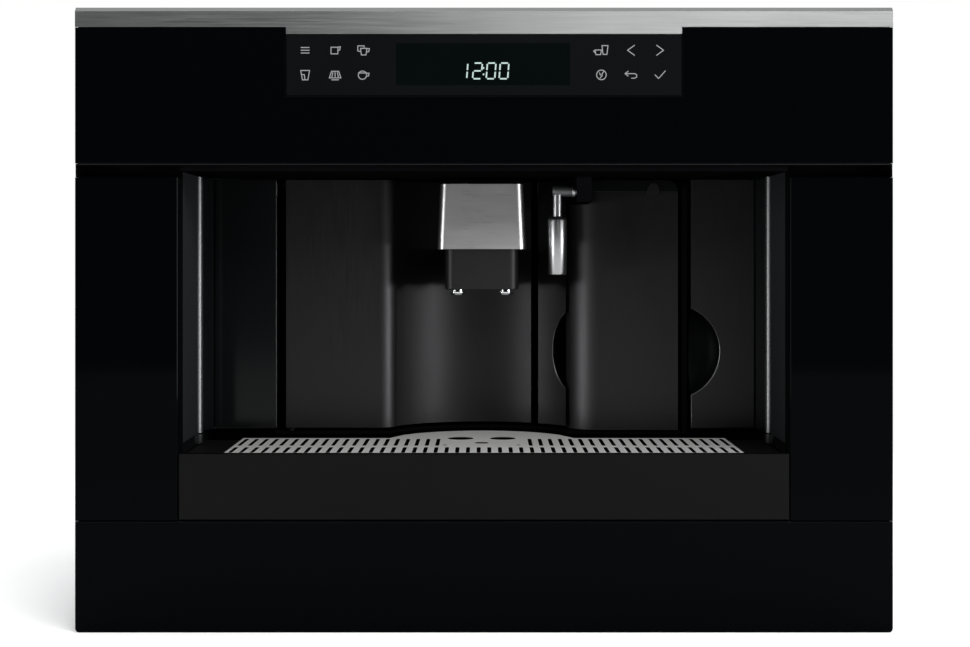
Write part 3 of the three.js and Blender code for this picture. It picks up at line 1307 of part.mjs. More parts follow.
// The frame carries the fixed piston in its head; the chamber rises over it on the spindle.
function brewing() {
  const [x0, x1] = [BREW_X - BREW_W / 2, BREW_X + BREW_W / 2];
  const front = BREW_D - CUP_R;
  const headLow = BREW_TOP - BREW_HEAD_H;
  const wall = BREW_BACK_D - BREW_BACK_T;
  const pistonLow = headLow - PISTON_L + BREW_BACK_T;
  piece('infuser_frame', cut(
    join(
      block(x0, x1, front, BREW_BACK_D, BREW_BASE, BREW_BASE + BREW_FOOT_H),
      block(x0, x1, wall, BREW_BACK_D, BREW_BASE, BREW_TOP),
      block(x0, x1, front - SPINDLE_R, BREW_BACK_D, headLow, BREW_TOP),
      turned(rodProfile(PISTON_R, pistonLow, headLow + MARGIN), BREW_X, BREW_D, 24),
    ),
    turned(rodProfile(SPINDLE_R + RUN, BREW_BASE - MARGIN, headLow - MARGIN), BREW_X, SPINDLE_D, 12),
    block(
      x0 + BREW_POST_W, x1 - BREW_POST_W, wall - MARGIN, BREW_BACK_D + MARGIN,
      BREW_BASE + BREW_FOOT_H + BREW_POST_W, headLow - BREW_POST_W,
    ),
  ), blackPlastic);

  const boreFoot = CUP_BOTTOM + CUP_FLOOR_T;
  const carriage = CUP_BOTTOM + BREW_BACK_T;
  piece('brew_chamber', cut(
    join(
      turned(rodProfile(CUP_R, CUP_BOTTOM, CUP_TOP), BREW_X, BREW_D, 24),
      block(
        BREW_X - CARRIAGE_W / 2, BREW_X + CARRIAGE_W / 2, BREW_D, wall - RUN,
        carriage, carriage + CARRIAGE_H,
      ),
    ),
    turned(rodProfile(CUP_BORE_R, boreFoot, CUP_TOP + MARGIN), BREW_X, BREW_D, 24),
    turned(rodProfile(SPINDLE_R + FIT, CUP_BOTTOM - MARGIN, CUP_TOP), BREW_X, SPINDLE_D, 16),
  ), greyPlastic);

  const tail = BAY_FLOOR_Z - SPINDLE_TAIL;
  const tip = headLow - MARGIN * 2;
  piece('drive_spindle', turned([
    [0, tail], [SPINDLE_R - MARGIN, tail], [SPINDLE_R, tail + MARGIN],
    [SPINDLE_R, tip], [SPINDLE_R - MARGIN, tip + MARGIN], [0, tip + MARGIN],
  ], BREW_X, SPINDLE_D, 16), burrSteel);

  const plateTop = BAY_FLOOR_Z - FIT;
  const plateLow = plateTop - DRIVE_PLATE_T;
  const halfPlate = DRIVE_PLATE_W / 2;
  piece('brew_motor', cut(
    join(
      turned(rodProfile(DRIVE_R, plateLow - DRIVE_L + SKIN_T, plateLow + SKIN_T), BREW_X, SPINDLE_D, 24),
      block(
        BREW_X - halfPlate, BREW_X + halfPlate, SPINDLE_D - DRIVE_R - SKIN_T,
        SPINDLE_D + DRIVE_R + SKIN_T, plateLow, plateTop,
      ),
    ),
    turned(rodProfile(SPINDLE_R + RUN, tail - SKIN_T, BAY_FLOOR_Z), BREW_X, SPINDLE_D, 12),
  ), galvanised);

  const left = BAY_LEFT + SPINDLE_R;
  const right = ALCOVE_LEFT - ROLL_R - SPINDLE_R;
  const near = FACE_D + DOOR_T + BOX_GAP;
  const far = BAY_BACK_D - BOX_GAP;
  const boxShape = (inset) => softRectangle(
    left + inset, right - inset, near + inset, far - inset, BOX_CORNER - inset,
  );
  piece('grounds_container', cut(
    upright(boxShape(0), BREW_BASE, BREW_BASE + BOX_H),
    upright(boxShape(BOX_WALL), BREW_BASE + BOX_WALL, BREW_BASE + BOX_H + MARGIN),
  ), blackPlastic);
}

// ---------------------------------------------------------------- water, heat and power

function hydraulics() {
  const floor = CASE_BOTTOM + SHEET;
  const pumpZ = TRAY_BAY_Z - WALL - FIT - PUMP_R;
  const pumpBack = BAY_BACK_D - PUMP_BACK_GAP;
  const endBack = pumpBack - PUMP_PORT_L + SKIN_T;
  const coilBack = endBack - PUMP_END_L + SKIN_T;
  const coilFront = coilBack - PUMP_COIL_L;
  const endFront = coilFront - PUMP_NECK_L;
  const portFront = endFront - PUMP_PORT_L;
  piece('water_pump', join(
    turnedLengthwise([
      [0, portFront], [PUMP_PORT_R, portFront], [PUMP_PORT_R, endFront], [PUMP_END_R, endFront],
      [PUMP_END_R, coilFront - SKIN_T], [PUMP_R, coilFront], [PUMP_R, coilBack],
      [PUMP_END_R, coilBack + SKIN_T], [PUMP_END_R, endBack], [SPINDLE_R, endBack],
      [SPINDLE_R, pumpBack], [0, pumpBack],
    ], TANK_MID, pumpZ, 20),
    block(
      TANK_MID - PUMP_CRADLE / 2, TANK_MID + PUMP_CRADLE / 2, coilFront + BOX_GAP,
      coilBack - BOX_GAP, floor, pumpZ - PUMP_END_R,
    ),
  ), blackPlastic);

  const heatX = HEATER_RIGHT - HEATER_T / 2;
  const heatBack = BAY_BACK_D - HEATER_BACK_GAP;
  const heatTop = HEATER_Z + HEATER_H;
  const heatShape = softRectangle(HEATER_D, heatBack, HEATER_Z, heatTop, HEATER_CORNER, 3);
  const earZ = (HEATER_Z + heatTop) / 2;
  const ears = [HEATER_D + HEATER_EAR_W * 2, heatBack - HEATER_EAR_W * 2].map((d) => block(
    HEATER_RIGHT - SKIN_T, CASE_HALF - SHEET, d - HEATER_EAR_W / 2, d + HEATER_EAR_W / 2,
    earZ - HEATER_EAR_H / 2, earZ + HEATER_EAR_H / 2,
  ));
  const portZ = heatTop - PUMP_PORT_L;
  const portBack = heatBack + HEATER_PORT_L;
  const port = rodProfile(HEATER_PORT_R, heatBack - SKIN_T, portBack);
  piece('thermoblock', join(
    crosswise(heatShape, HEATER_RIGHT - HEATER_T, HEATER_RIGHT),
    ...ears,
    turnedLengthwise(port, heatX, portZ, 12),
  ), aluminium);

  const boardX = -CASE_HALF + SHEET;
  const boardBack = CASE_BACK - POWER_BACK_GAP;
  const boardFace = boardX + POST_L;
  const partsFrom = BAY_DEPTH + POST_L;
  const posts = [POWER_FRONT_D + PUMP_R / 2, boardBack - PUMP_R / 2].flatMap((d) => (
    [POWER_Z + PUMP_R / 2, POWER_Z + POWER_H - PUMP_R / 2].map((z) => block(
      boardX, boardFace + RUN, d - POST_W / 2, d + POST_W / 2, z - POST_W / 2, z + POST_W / 2,
    ))
  ));
  // share of the way back, share of the height, width and height in shares of the largest part
  const parts = [[0, 0.27, 1, 0.8], [0.38, 0.27, 0.75, 1], [0.6, 0.6, 1.1, 1.3], [0, 0.65, 0.85, 0.65]];
  piece('power_board', join(
    block(boardFace, boardFace + POWER_T, POWER_FRONT_D, boardBack, POWER_Z, POWER_Z + POWER_H),
    ...posts,
    ...parts.map(([along, up, width, height]) => {
      const d = partsFrom + (boardBack - partsFrom) * along;
      const z = POWER_Z + POWER_H * up;
      const size = width * PART_W;
      return block(boardFace + RUN, boardFace + size, d, d + size, z, z + height * PART_W);
    }),
  ), boardGreen);

  const hoseBack = portBack + BOX_GAP * 2;
  piece('pressure_hose', bent([
    [TANK_MID, pumpBack + FIT, pumpZ],
    [TANK_MID, pumpBack + PUMP_PORT_L / 2, pumpZ],
    [TANK_MID + PUMP_END_R, pumpBack + PUMP_PORT_L, pumpZ + PUMP_R],
    [(TANK_MID + heatX) / 2, hoseBack, pumpZ + PUMP_CRADLE],
    [heatX, hoseBack, HEATER_Z - PUMP_R],
    [heatX, hoseBack, portZ - PUMP_R],
    [heatX, portBack + BOX_GAP, portZ],
    [heatX, portBack + FIT, portZ],
  ], HOSE_R, 36), smokedPlastic);
}

function powerInlet() {
  const body = rectangle(
    INLET_LEFT + FIT, INLET_RIGHT - FIT, INLET_Z + FIT, INLET_TOP - FIT,
  );
  const bezel = rectangle(
    INLET_LEFT - BEZEL_EDGE, INLET_RIGHT + BEZEL_EDGE, INLET_Z - BEZEL_T, INLET_TOP + BEZEL_T,
  );
  const socketRight = INLET_RIGHT - SOCKET_CORNER;
  const socket = softRectangle(
    socketRight - SOCKET_W, socketRight, INLET_Z + INLET_RIM, INLET_TOP - INLET_RIM, SOCKET_CORNER,
  );
  const switchHole = rectangle(
    INLET_LEFT + SKIN_T, SWITCH_RIGHT - SKIN_T, INLET_Z + SKIN_T, INLET_TOP - SKIN_T,
  );
  piece('power_inlet', cut(
    join(
      lengthwise(bezel, CASE_BACK, DEPTH),
      lengthwise(body, CASE_BACK - INLET_BODY_L, CASE_BACK + MARGIN),
    ),
    lengthwise(socket, CASE_BACK - SOCKET_D, DEPTH + MARGIN),
    lengthwise(switchHole, CASE_BACK - SWITCH_D, DEPTH + MARGIN),
  ), blackPlastic);

  const half = SWITCH_W / 2 - SKIN_T - RUN;
  const reach = INLET_H / 2 - INLET_RIM;
  const rocker = crosswise(outline([
    [-ROCKER_T, -reach + SKIN_T], [ROCKER_T, -reach], [ROCKER_T * 0.6, 0], [ROCKER_T, reach],
    [-ROCKER_T, reach - SKIN_T],
  ]), -half, half);
  const tilt = THREE.MathUtils.degToRad(-ROCKER_TILT / 2);
  const pivot = CASE_BACK - INLET_RIM;
  rocker.rotateX(tilt).translate((INLET_LEFT + SWITCH_RIGHT) / 2, pivot, (INLET_Z + INLET_TOP) / 2);
  piece('switch_rocker', rocker, blackPlastic);
}

runners();
caseSheets();
fascia();
niche();
serviceBay();
door();
spout();
tray();
tank();
steamPipe();
grinder();
hopperLid();
brewing();
hydraulics();
powerInlet();

export default machine;
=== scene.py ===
"""A built-in coffee machine in black glass and dark brushed steel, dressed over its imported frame.

Lengths are written in millimetres as (x, depth, z), where depth is measured back from the fascia's
front plane, and placed() turns them into metres in the frame's own axes.
"""

import json
import math

import bmesh
import bpy
import numpy as np
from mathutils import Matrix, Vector

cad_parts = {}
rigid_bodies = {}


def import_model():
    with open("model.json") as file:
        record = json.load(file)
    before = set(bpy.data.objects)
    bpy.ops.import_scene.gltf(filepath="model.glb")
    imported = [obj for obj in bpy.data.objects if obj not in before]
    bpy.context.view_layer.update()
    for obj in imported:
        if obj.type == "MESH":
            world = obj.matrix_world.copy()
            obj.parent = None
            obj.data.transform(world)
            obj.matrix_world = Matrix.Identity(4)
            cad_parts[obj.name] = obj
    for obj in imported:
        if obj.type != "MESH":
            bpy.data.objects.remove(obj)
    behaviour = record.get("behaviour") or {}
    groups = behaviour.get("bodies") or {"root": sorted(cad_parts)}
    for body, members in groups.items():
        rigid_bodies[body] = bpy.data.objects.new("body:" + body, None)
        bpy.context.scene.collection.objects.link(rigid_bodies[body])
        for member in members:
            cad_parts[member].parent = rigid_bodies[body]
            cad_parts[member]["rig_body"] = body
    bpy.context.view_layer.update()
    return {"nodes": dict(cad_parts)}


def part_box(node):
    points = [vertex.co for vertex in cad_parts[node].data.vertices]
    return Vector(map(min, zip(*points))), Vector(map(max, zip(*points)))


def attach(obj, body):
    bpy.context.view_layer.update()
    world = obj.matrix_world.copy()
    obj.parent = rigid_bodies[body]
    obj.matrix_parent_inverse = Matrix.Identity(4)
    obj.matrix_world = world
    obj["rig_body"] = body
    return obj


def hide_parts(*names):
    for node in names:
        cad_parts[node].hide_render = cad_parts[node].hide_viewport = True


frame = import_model()
NODES = frame["nodes"]

# ---------- measures, mm

ORIGIN_DEPTH = 180.5  # depth at which the frame's own origin stands
FACE = 125.5  # depth of the flat faces at the back of the niche
PANEL_LOW, PANEL_HIGH = 136.7, 335.0  # foot and top of the panels there
DOOR_LEFT, DOOR_RIGHT = -158.4, 38.8
FLAT_END = -83.4  # where the door's flat turns into its convex roll
ROLL = 13.0  # radius of that roll
ALCOVE_LEFT, ALCOVE_RIGHT = -70.4, 66.8
ALCOVE_SAG = 40.0  # how far the arc's middle lies behind its ends
ALCOVE_X = (ALCOVE_LEFT + ALCOVE_RIGHT) / 2
ALCOVE_HALF = (ALCOVE_RIGHT - ALCOVE_LEFT) / 2
ALCOVE_R = (ALCOVE_HALF ** 2 + ALCOVE_SAG ** 2) / (2 * ALCOVE_SAG)
ALCOVE_DEPTH = FACE + ROLL + ALCOVE_SAG - ALCOVE_R
SCOOP_Z = 197.6  # height of the middle of both finger scoops
SCOOP_R = 37.8  # radius of the right scoop's edge, and the left scoop's reach from front to back
MERGE = 1e-6  # points closer than this, in metres, become one


def placed(points):
    """Points in mm, (x, depth, z), as metres in the frame's axes: y = depth - ORIGIN_DEPTH."""
    metres = np.asarray(points, dtype=float) * 0.001
    metres[..., 1] -= ORIGIN_DEPTH * 0.001
    return metres


# ---------- surfaces

def box_of(node):
    """A node's lowest and highest corner in mm, (x, depth, z)."""
    low, high = (np.array(corner) * 1000 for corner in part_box(node))
    low[1] += ORIGIN_DEPTH
    high[1] += ORIGIN_DEPTH
    return low, high


def skin(rings, turn=False):
    """Quads between neighbouring closed rings of points, rings[row, place on the ring, xyz].

    Quad (row, i) joins i and i + 1 of one row to the same places of the next; the first and the
    last ring are each closed by one flat face. With turn, the last row joins the first instead.
    """
    rings = np.asarray(rings, dtype=float)
    rows, places = rings.shape[:2]
    row, place = np.meshgrid(np.arange(rows if turn else rows - 1), np.arange(places), indexing="ij")
    row, place = row.ravel(), place.ravel()
    after, beside = (row + 1) % rows, (place + 1) % places
    quads = np.stack([row * places + place, row * places + beside,
                      after * places + beside, after * places + place], axis=1).tolist()
    if not turn:
        quads.append(list(range(places))[::-1])
        quads.append(list(range((rows - 1) * places, rows * places)))
    return rings.reshape(-1, 3), quads


def several(*meshes):
    """Several (points, faces) pairs as one, with each pair's faces counted on from the last."""
    points, faces, count = [], [], 0
    for some_points, some_faces in meshes:
        points.append(some_points)
        faces += [[corner + count for corner in face] for face in some_faces]
        count += len(some_points)
    return np.concatenate(points), faces


AXES = {"x": (1, 2, 0), "depth": (0, 2, 1), "z": (0, 1, 2)}  # the two across an axis, and itself


def prism(outline, start, end, axis="z"):
    """An outline in the two other coordinates, (x, depth) or (x, z), at two places on an axis."""
    across, up, along = AXES[axis]
    rings = np.empty((2, len(outline), 3))
    rings[..., [across, up]] = outline
    rings[0, :, along], rings[1, :, along] = start, end
    return skin(rings)


def revolved(profile, centre, axis="z", steps=48, turn=False):
    """A body of revolution: point k of the profile (radius, place along the axis) goes round as
    radius * (cos a, sin a) for equal steps of a, about a line through centre."""
    profile = np.asarray(profile, dtype=float)
    angle = np.linspace(0, 2 * math.pi, steps, endpoint=False)
    across, up, along = AXES[axis]
    rings = np.empty((len(profile), steps, 3))
    rings[..., across] = profile[:, :1] * np.cos(angle) + centre[0]
    rings[..., up] = profile[:, :1] * np.sin(angle) + centre[1]
    rings[..., along] = profile[:, 1:]
    return skin(rings, turn=turn)


def arc(centre, radius, start, end, steps):
    """Points centre + radius * (cos a, sin a), with a from start to end in degrees."""
    angle = np.radians(np.linspace(start, end, steps + 1))
    return np.stack([centre[0] + radius * np.cos(angle), centre[1] + radius * np.sin(angle)], axis=1)


def soft_rectangle(x0, x1, y0, y1, radius, steps):
    """A rectangle whose corners are quarter circles."""
    return np.concatenate([
        arc((x1 - radius, y1 - radius), radius, 0, 90, steps),
        arc((x0 + radius, y1 - radius), radius, 90, 180, steps),
        arc((x0 + radius, y0 + radius), radius, 180, 270, steps),
        arc((x1 - radius, y0 + radius), radius, 270, 360, steps),
    ])


def boxed(corners):
    """Many closed boxes at once from eight corners each, four round one end, then four round the
    other."""
    faces = np.array([[3, 2, 1, 0], [4, 5, 6, 7], [0, 1, 5, 4], [1, 2, 6, 5], [2, 3, 7, 6], [3, 0, 4, 7]])
    faces = faces + 8 * np.arange(len(corners))[:, None, None]
    return corners.reshape(-1, 3), faces.reshape(-1, 4).tolist()


def blocks(boxes):
    """Boxes along the axes from rows (x0, x1, depth0, depth1, z0, z1)."""
    pick = [[0, 2, 4], [1, 2, 4], [1, 3, 4], [0, 3, 4], [0, 2, 5], [1, 2, 5], [1, 3, 5], [0, 3, 5]]
    return boxed(np.array(boxes, dtype=float)[:, pick])


def tube(line, radius, steps=10):
    """A round bead along a line: at each point a circle, of that point's radius, in the plane of
    side (the line's direction crossed with the depth axis) and out (side crossed with it)."""
    line = np.asarray(line, dtype=float)
    radius = np.broadcast_to(radius, len(line))[:, None, None]
    way = np.gradient(line, axis=0)
    way /= np.linalg.norm(way, axis=1, keepdims=True)
    side = np.cross(way, (0, 1, 0))
    side /= np.linalg.norm(side, axis=1, keepdims=True)
    out = np.cross(side, way)
    angle = np.linspace(0, 2 * math.pi, steps, endpoint=False)[:, None]
    rings = line[:, None] + radius * (np.cos(angle) * side[:, None] + np.sin(angle) * out[:, None])
    return skin(rings)


# ---------- pieces

def shown(name, data):
    """A new object in the scene, of a mesh, a lamp or a camera."""
    thing = bpy.data.objects.new(name, data)
    bpy.context.scene.collection.objects.link(thing)
    return thing


def dressed(name, data, body, material, replaces, sharp):
    """Makes a mesh an object in one material, shaded smooth except where two faces meet at more
    than sharp degrees. It rides on a body, in place of the CAD node that it replaces."""
    data.polygons.foreach_set("use_smooth", np.ones(len(data.polygons), dtype=bool))
    data.set_sharp_from_angle(angle=math.radians(sharp))
    data.materials.append(material)
    piece = shown(name, data)
    if replaces:
        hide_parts(replaces)
    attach(piece, body)
    return piece


def finish_piece(name, mesh, body, material, replaces=None, sharp=35, bevel=0.0, segments=2):
    """Makes the piece from (points in mm, faces), with its faces pointing out and its edges
    rounded by a radius of bevel mm."""
    points, faces = mesh
    data = bpy.data.meshes.new(name)
    data.from_pydata(placed(points), [], faces)
    work = bmesh.new()
    work.from_mesh(data)
    bmesh.ops.remove_doubles(work, verts=work.verts, dist=MERGE)
    bmesh.ops.recalc_face_normals(work, faces=work.faces)
    work.to_mesh(data)
    work.free()
    piece = dressed(name, data, body, material, replaces, sharp)
    if bevel:
        rounding = piece.modifiers.new("rounded edges", "BEVEL")
        rounding.width = bevel * 0.001
        rounding.segments = segments
        rounding.limit_method = "ANGLE"
        rounding.angle_limit = math.radians(40)
        rounding.harden_normals = True
    return piece


def smoothed(node, material, sharp=32):
    """A merged copy of a CAD node whose round parts shade smoothly, in that node's place."""
    source = NODES[node]
    work = bmesh.new()
    work.from_mesh(source.data)
    bmesh.ops.remove_doubles(work, verts=work.verts, dist=MERGE)
    bmesh.ops.dissolve_limit(work, angle_limit=math.radians(0.5), verts=work.verts, edges=work.edges)
    name = node + "_smooth"
    data = bpy.data.meshes.new(name)
    work.to_mesh(data)
    work.free()
    return dressed(name, data, source["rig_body"], material, node, sharp)


def of_faces(piece, what):
    """One vector for each face of a piece, its "center" or its "normal"."""
    vectors = np.empty(len(piece.data.polygons) * 3)
    piece.data.polygons.foreach_get(what, vectors)
    return vectors.reshape(-1, 3)


def centres(piece):
    """The middle of each face in mm, (x, depth, z)."""
    return of_faces(piece, "center") * 1000 + [0, ORIGIN_DEPTH, 0]


def picked(piece, where, material):
    """Gives the faces picked by where one more material, such as the dark paint that stands for the shade
    in a pressed bowl.
    """
    index = np.empty(len(where), dtype=np.int32)
    piece.data.polygons.foreach_get("material_index", index)
    index[where] = len(piece.data.materials)
    piece.data.materials.append(material)
    piece.data.polygons.foreach_set("material_index", index)


# ---------- materials

def linear(code):
    """An sRGB colour such as '#a0a0a0' as linear RGBA."""
    values = np.array([int(code[i:i + 2], 16) for i in (1, 3, 5)]) / 255
    low, high = values / 12.92, ((values + 0.055) / 1.055) ** 2.4
    return (*np.where(values <= 0.04045, low, high), 1.0)


def add(tree, kind, settings=None, links=None, feeds=None):
    """Adds a node, sets its properties or inputs by name, links its inputs to the sockets that
    they come from, and feeds its outputs into other nodes' inputs."""
    node = tree.nodes.new(kind)
    for key, value in (settings or {}).items():
        if isinstance(key, str) and hasattr(node, key):
            setattr(node, key, value)
        else:
            node.inputs[key].default_value = value
    for key, socket in (links or {}).items():
        tree.links.new(socket, node.inputs[key])
    for key, socket in (feeds or {}).items():
        tree.links.new(node.outputs[key], socket)
    return node


def empty_tree(owner):
    """The node tree of a new material or world, with nothing in it."""
    owner.use_nodes = True
    owner.node_tree.nodes.clear()
    return owner.node_tree


def new_material(name, surface):
    """A material with one Principled shader, whose inputs are given by name, and the link that
    lays a pattern on a piece's own coordinates."""
    material = bpy.data.materials.new(name)
    tree = empty_tree(material)
    shader = add(tree, "ShaderNodeBsdfPrincipled", surface)
    add(tree, "ShaderNodeOutputMaterial", links={"Surface": shader.outputs["BSDF"]})
    return material, tree, shader, {"Vector": add(tree, "ShaderNodeTexCoord").outputs["Object"]}


def uneven(tree, shader, height, roughness, swing, strength, depth):
    """Lets a pattern of heights move the roughness by the share swing either way, and lift the
    surface by depth mm."""
    least, most = roughness * (1 - swing), roughness * (1 + swing)
    add(tree, "ShaderNodeMapRange", {"From Min": 0.3, "From Max": 0.7, "To Min": least, "To Max": most},
        {"Value": height}, {"Result": shader.inputs["Roughness"]})
    add(tree, "ShaderNodeBump", {"Strength": strength, "Distance": depth * 0.001},
        {"Height": height}, {"Normal": shader.inputs["Normal"]})


def brushed(name, colour, roughness, along, line, depth=0.012, tint=0.12, spread=0.0):
    """Steel brushed with an abrasive belt: fine parallel scratches along one axis.

    The scratches are noise stretched 60 times along that axis. line is their spacing in mm, drawn
    coarser than the real 0.1 mm so that they show in the render. tint is how much lighter and
    darker they are, and spread widens the highlight across them: the tangent is the axis crossed
    with the surface's normal.
    """
    material, tree, shader, here = new_material(name, {"Metallic": 1.0, "Roughness": roughness})
    stretch = 60
    scale = [1000 / line] * 3
    scale[along] /= stretch
    stretched = add(tree, "ShaderNodeMapping", {"Scale": scale}, here)
    scratches = add(tree, "ShaderNodeTexNoise", {"Scale": 1.0, "Detail": 3.0, "Roughness": 0.6},
                    {"Vector": stretched.outputs["Vector"]}).outputs["Fac"]
    base = np.array(linear(colour)[:3])
    deep, pale = base * (1 - tint), np.minimum(1.0, base * (1 + tint))
    add(tree, "ShaderNodeMix", {"data_type": "RGBA", 6: (*deep, 1.0), 7: (*pale, 1.0)},
        {"Factor": scratches}, {2: shader.inputs["Base Color"]})
    uneven(tree, shader, scratches, roughness, 0.12, 0.2, depth)
    if spread:
        shader.inputs["Anisotropic"].default_value = spread
        surface = add(tree, "ShaderNodeNewGeometry")
        line_of_grain = [0.0, 0.0, 0.0]
        line_of_grain[along] = 1.0
        add(tree, "ShaderNodeVectorMath", {"operation": "CROSS_PRODUCT", 1: line_of_grain},
            {0: surface.outputs["Normal"]}, {"Vector": shader.inputs["Tangent"]})
    return material


def grained(name, colour, roughness, grain=0.4, depth=0.006, metallic=0.0, gloss=0.5):
    """An even surface with a fine grain, as a spark-eroded mould gives plastic, or as blasting,
    casting, plating or rolling gives metal.

    The grain is noise at a spacing of grain mm; it moves the roughness and lifts the surface by
    depth mm. A second noise, 60 mm long, makes the colour a little lighter in places. gloss is
    the strength of the shine, low on the near-black plastics so that they stay dark at the edges.
    """
    material, tree, shader, here = new_material(name, {
        "Metallic": metallic, "Roughness": roughness, "IOR": 1.5, "Specular IOR Level": gloss})
    pits = add(tree, "ShaderNodeTexNoise", {"Scale": 1000 / grain, "Detail": 2.0}, here)
    cloud = add(tree, "ShaderNodeTexNoise", {"Scale": 1000 / 60, "Detail": 2.0}, here)
    base = linear(colour)
    lighter = np.minimum(1.0, np.array(base[:3]) * 1.12 + 0.0004)
    add(tree, "ShaderNodeMix", {"data_type": "RGBA", 6: base, 7: (*lighter, 1.0)},
        {"Factor": cloud.outputs["Fac"]}, {2: shader.inputs["Base Color"]})
    uneven(tree, shader, pits.outputs["Fac"], roughness, 0.1, 0.3, depth)
    return material


def galvanised_sheet():
    """Hot-dip galvanised steel: a dull grey metal with zinc crystals about 9 mm across, each a
    slightly different grey, as Voronoi cells."""
    material, tree, shader, here = new_material("galvanised sheet steel", {
        "Metallic": 0.9, "Roughness": 0.45})
    crystals = add(tree, "ShaderNodeTexVoronoi", {"Scale": 1000 / 9, "Randomness": 1.0}, here)
    grey = add(tree, "ShaderNodeSeparateColor", links={"Color": crystals.outputs["Color"]})
    add(tree, "ShaderNodeMix", {"data_type": "RGBA", 6: linear("#8c9093"), 7: linear("#9da1a4")},
        {"Factor": grey.outputs["Red"]}, {2: shader.inputs["Base Color"]})
    add(tree, "ShaderNodeMapRange", {"To Min": 0.36, "To Max": 0.55},
        {"Value": grey.outputs["Green"]}, {"Result": shader.inputs["Roughness"]})
    return material


def polished_glass():
    """Float glass printed black on its back: near black, with a sharp weak reflection on top and
    a very slight unevenness of the polish, about 90 mm long."""
    material, tree, shader, here = new_material("back-printed float glass", {
        "Base Color": linear("#020304"), "Roughness": 0.04, "IOR": 1.5, "Specular IOR Level": 0.02})
    wave = add(tree, "ShaderNodeTexNoise", {"Scale": 1000 / 90, "Detail": 1.0}, here)
    add(tree, "ShaderNodeMapRange", {"To Min": 0.03, "To Max": 0.06},
        {"Value": wave.outputs["Fac"]}, {"Result": shader.inputs["Roughness"]})
    return material


def printed_ink(name, colour, strength):
    """Screen-printed marks lit from behind: an even colour that gives its own light."""
    return new_material(name, {"Base Color": linear("#060606"), "Roughness": 0.5,
                               "Emission Color": linear(colour), "Emission Strength": strength})[0]


def circuit_board():
    """Glass-fibre board under green solder mask, with a faint 0.8 mm weave."""
    material, tree, shader, here = new_material("solder-masked circuit board", {
        "Roughness": 0.4, "IOR": 1.5})
    greens = {"Color1": linear("#1c4a30"), "Color2": linear("#215638")}
    add(tree, "ShaderNodeTexChecker", {"Scale": 1000 / 0.8, **greens}, here,
        {"Color": shader.inputs["Base Color"]})
    return material


def clear_plastic(name, colour, roughness, gloss):
    """Tinted transparent styrene-acrylonitrile: light passes, darkened by the tint, and the
    melt's flow, about 30 mm long, leaves some of it a little rougher."""
    material, tree, shader, here = new_material(name, {
        "Base Color": linear(colour), "Roughness": roughness, "IOR": 1.56,
        "Transmission Weight": 0.75, "Specular IOR Level": gloss})
    flow = add(tree, "ShaderNodeTexNoise", {"Scale": 1000 / 30, "Detail": 1.0}, here)
    add(tree, "ShaderNodeMapRange", {"To Min": roughness * 0.8, "To Max": roughness * 1.3},
        {"Value": flow.outputs["Fac"]}, {"Result": shader.inputs["Roughness"]})
    return material


X, Z = 0, 2  # the axes that steel is brushed along
# each line has the material's name, its colour and its roughness, then the spacing and the
# depth of its grain in mm where these aren't the usual ones; a few stand for painted shade or
# sheen, as noted; first the glass, lens and film
GLASS = polished_glass()
LENS = grained("smoked acrylic lens", "#090a0b", 0.2, 1.5, 0.001, gloss=0.05)
DISPLAY = grained("display window film", "#030606", 0.14, 1.5, 0.001, gloss=0.03)
# bright and dark steel that shows, brushed, satin or blasted
TRIM = brushed("long-grain brushed stainless steel", "#8c8d8d", 0.36, X, line=0.75, tint=0.2, spread=0.6)
# painted shade: the trim's steel at half brightness for its upper faces
TRIM_TOP_SHADE = brushed("brushed stainless steel turned over an edge", "#434444", 0.36, X, line=0.5, tint=0.2)
BEAD = grained("satin dark steel", "#5a5b5c", 0.36, 0.6, 0.001, metallic=1.0)
DARK_STEEL = brushed("black-tinted brushed steel", "#303031", 0.4, Z, line=0.45, spread=0.68)
SPOUT_STEEL = brushed("satin stainless steel", "#cfcfcf", 0.31, X, line=0.4, depth=0.0006, tint=0.1)
GRID_STEEL = grained("bead-blasted stainless steel", "#b4b4b3", 0.5, 0.5, 0.004, metallic=0.25)
CHROME = brushed("bright nickel-chrome plating", "#d6d8da", 0.08, Z, line=0.6, depth=0.001, tint=0.02)
# painted shade: a darker steel for the insides of the finger scoop and the pressed bowl
BOWL_SHADE_PAINT = grained("pressed steel painted dark for the shade in a bowl", "#08090a", 0.5, 0.6, 0.002, metallic=0.6, gloss=0.1)
RIM_STEEL = grained("satin rolled steel edge", "#6f7072", 0.38, 0.6, 0.001, metallic=1.0)
PIPE_STEEL = brushed("satin drawn stainless steel", "#a2a3a5", 0.3, Z, line=0.4, depth=0.002, tint=0.03)
ELBOW_STEEL = grained("bead-blasted dark steel", "#5e5f60", 0.55, 0.5, 0.003, metallic=1.0)
# black parts of the front, from gloss to matt
GLOSS_BLACK = grained("gloss black ABS", "#0a0b0c", 0.12, 2.0, 0.001, gloss=0.12)
SATIN_BLACK = grained("satin black ABS", "#111112", 0.5, gloss=0.1)
SPOUT_BLACK = grained("satin black polyamide", "#0b0b0c", 0.42, gloss=0.26)
# painted sheen: a lighter black for the flats of the liner's side walls
WALL_SHEEN_PAINT = grained("black ABS painted lighter for the sheen on a side wall", "#1c1d1e", 0.6, gloss=0.0)
# painted shade: matt black for the inside of the case's back panel
INSIDE_SHADE_PAINT = grained("sheet painted matt black for the shade inside the case", "#060606", 0.75, gloss=0.0)
TRAY_BLACK = grained("fine-grained black polypropylene", "#0a0a0b", 0.6, gloss=0.05)
# painted shade: near black for the walls inside the grid's slots and cup holes
SLOT_SHADE_PAINT = grained("cut steel edge painted black for the shade in a slot", "#040404", 0.8, gloss=0.0)
CEILING_BLACK = grained("matt black ABS", "#050506", 0.7, gloss=0.0)
GRAINED_BLACK = grained("grained black polypropylene", "#0f0f10", 0.6, 0.7, 0.012, gloss=0.15)
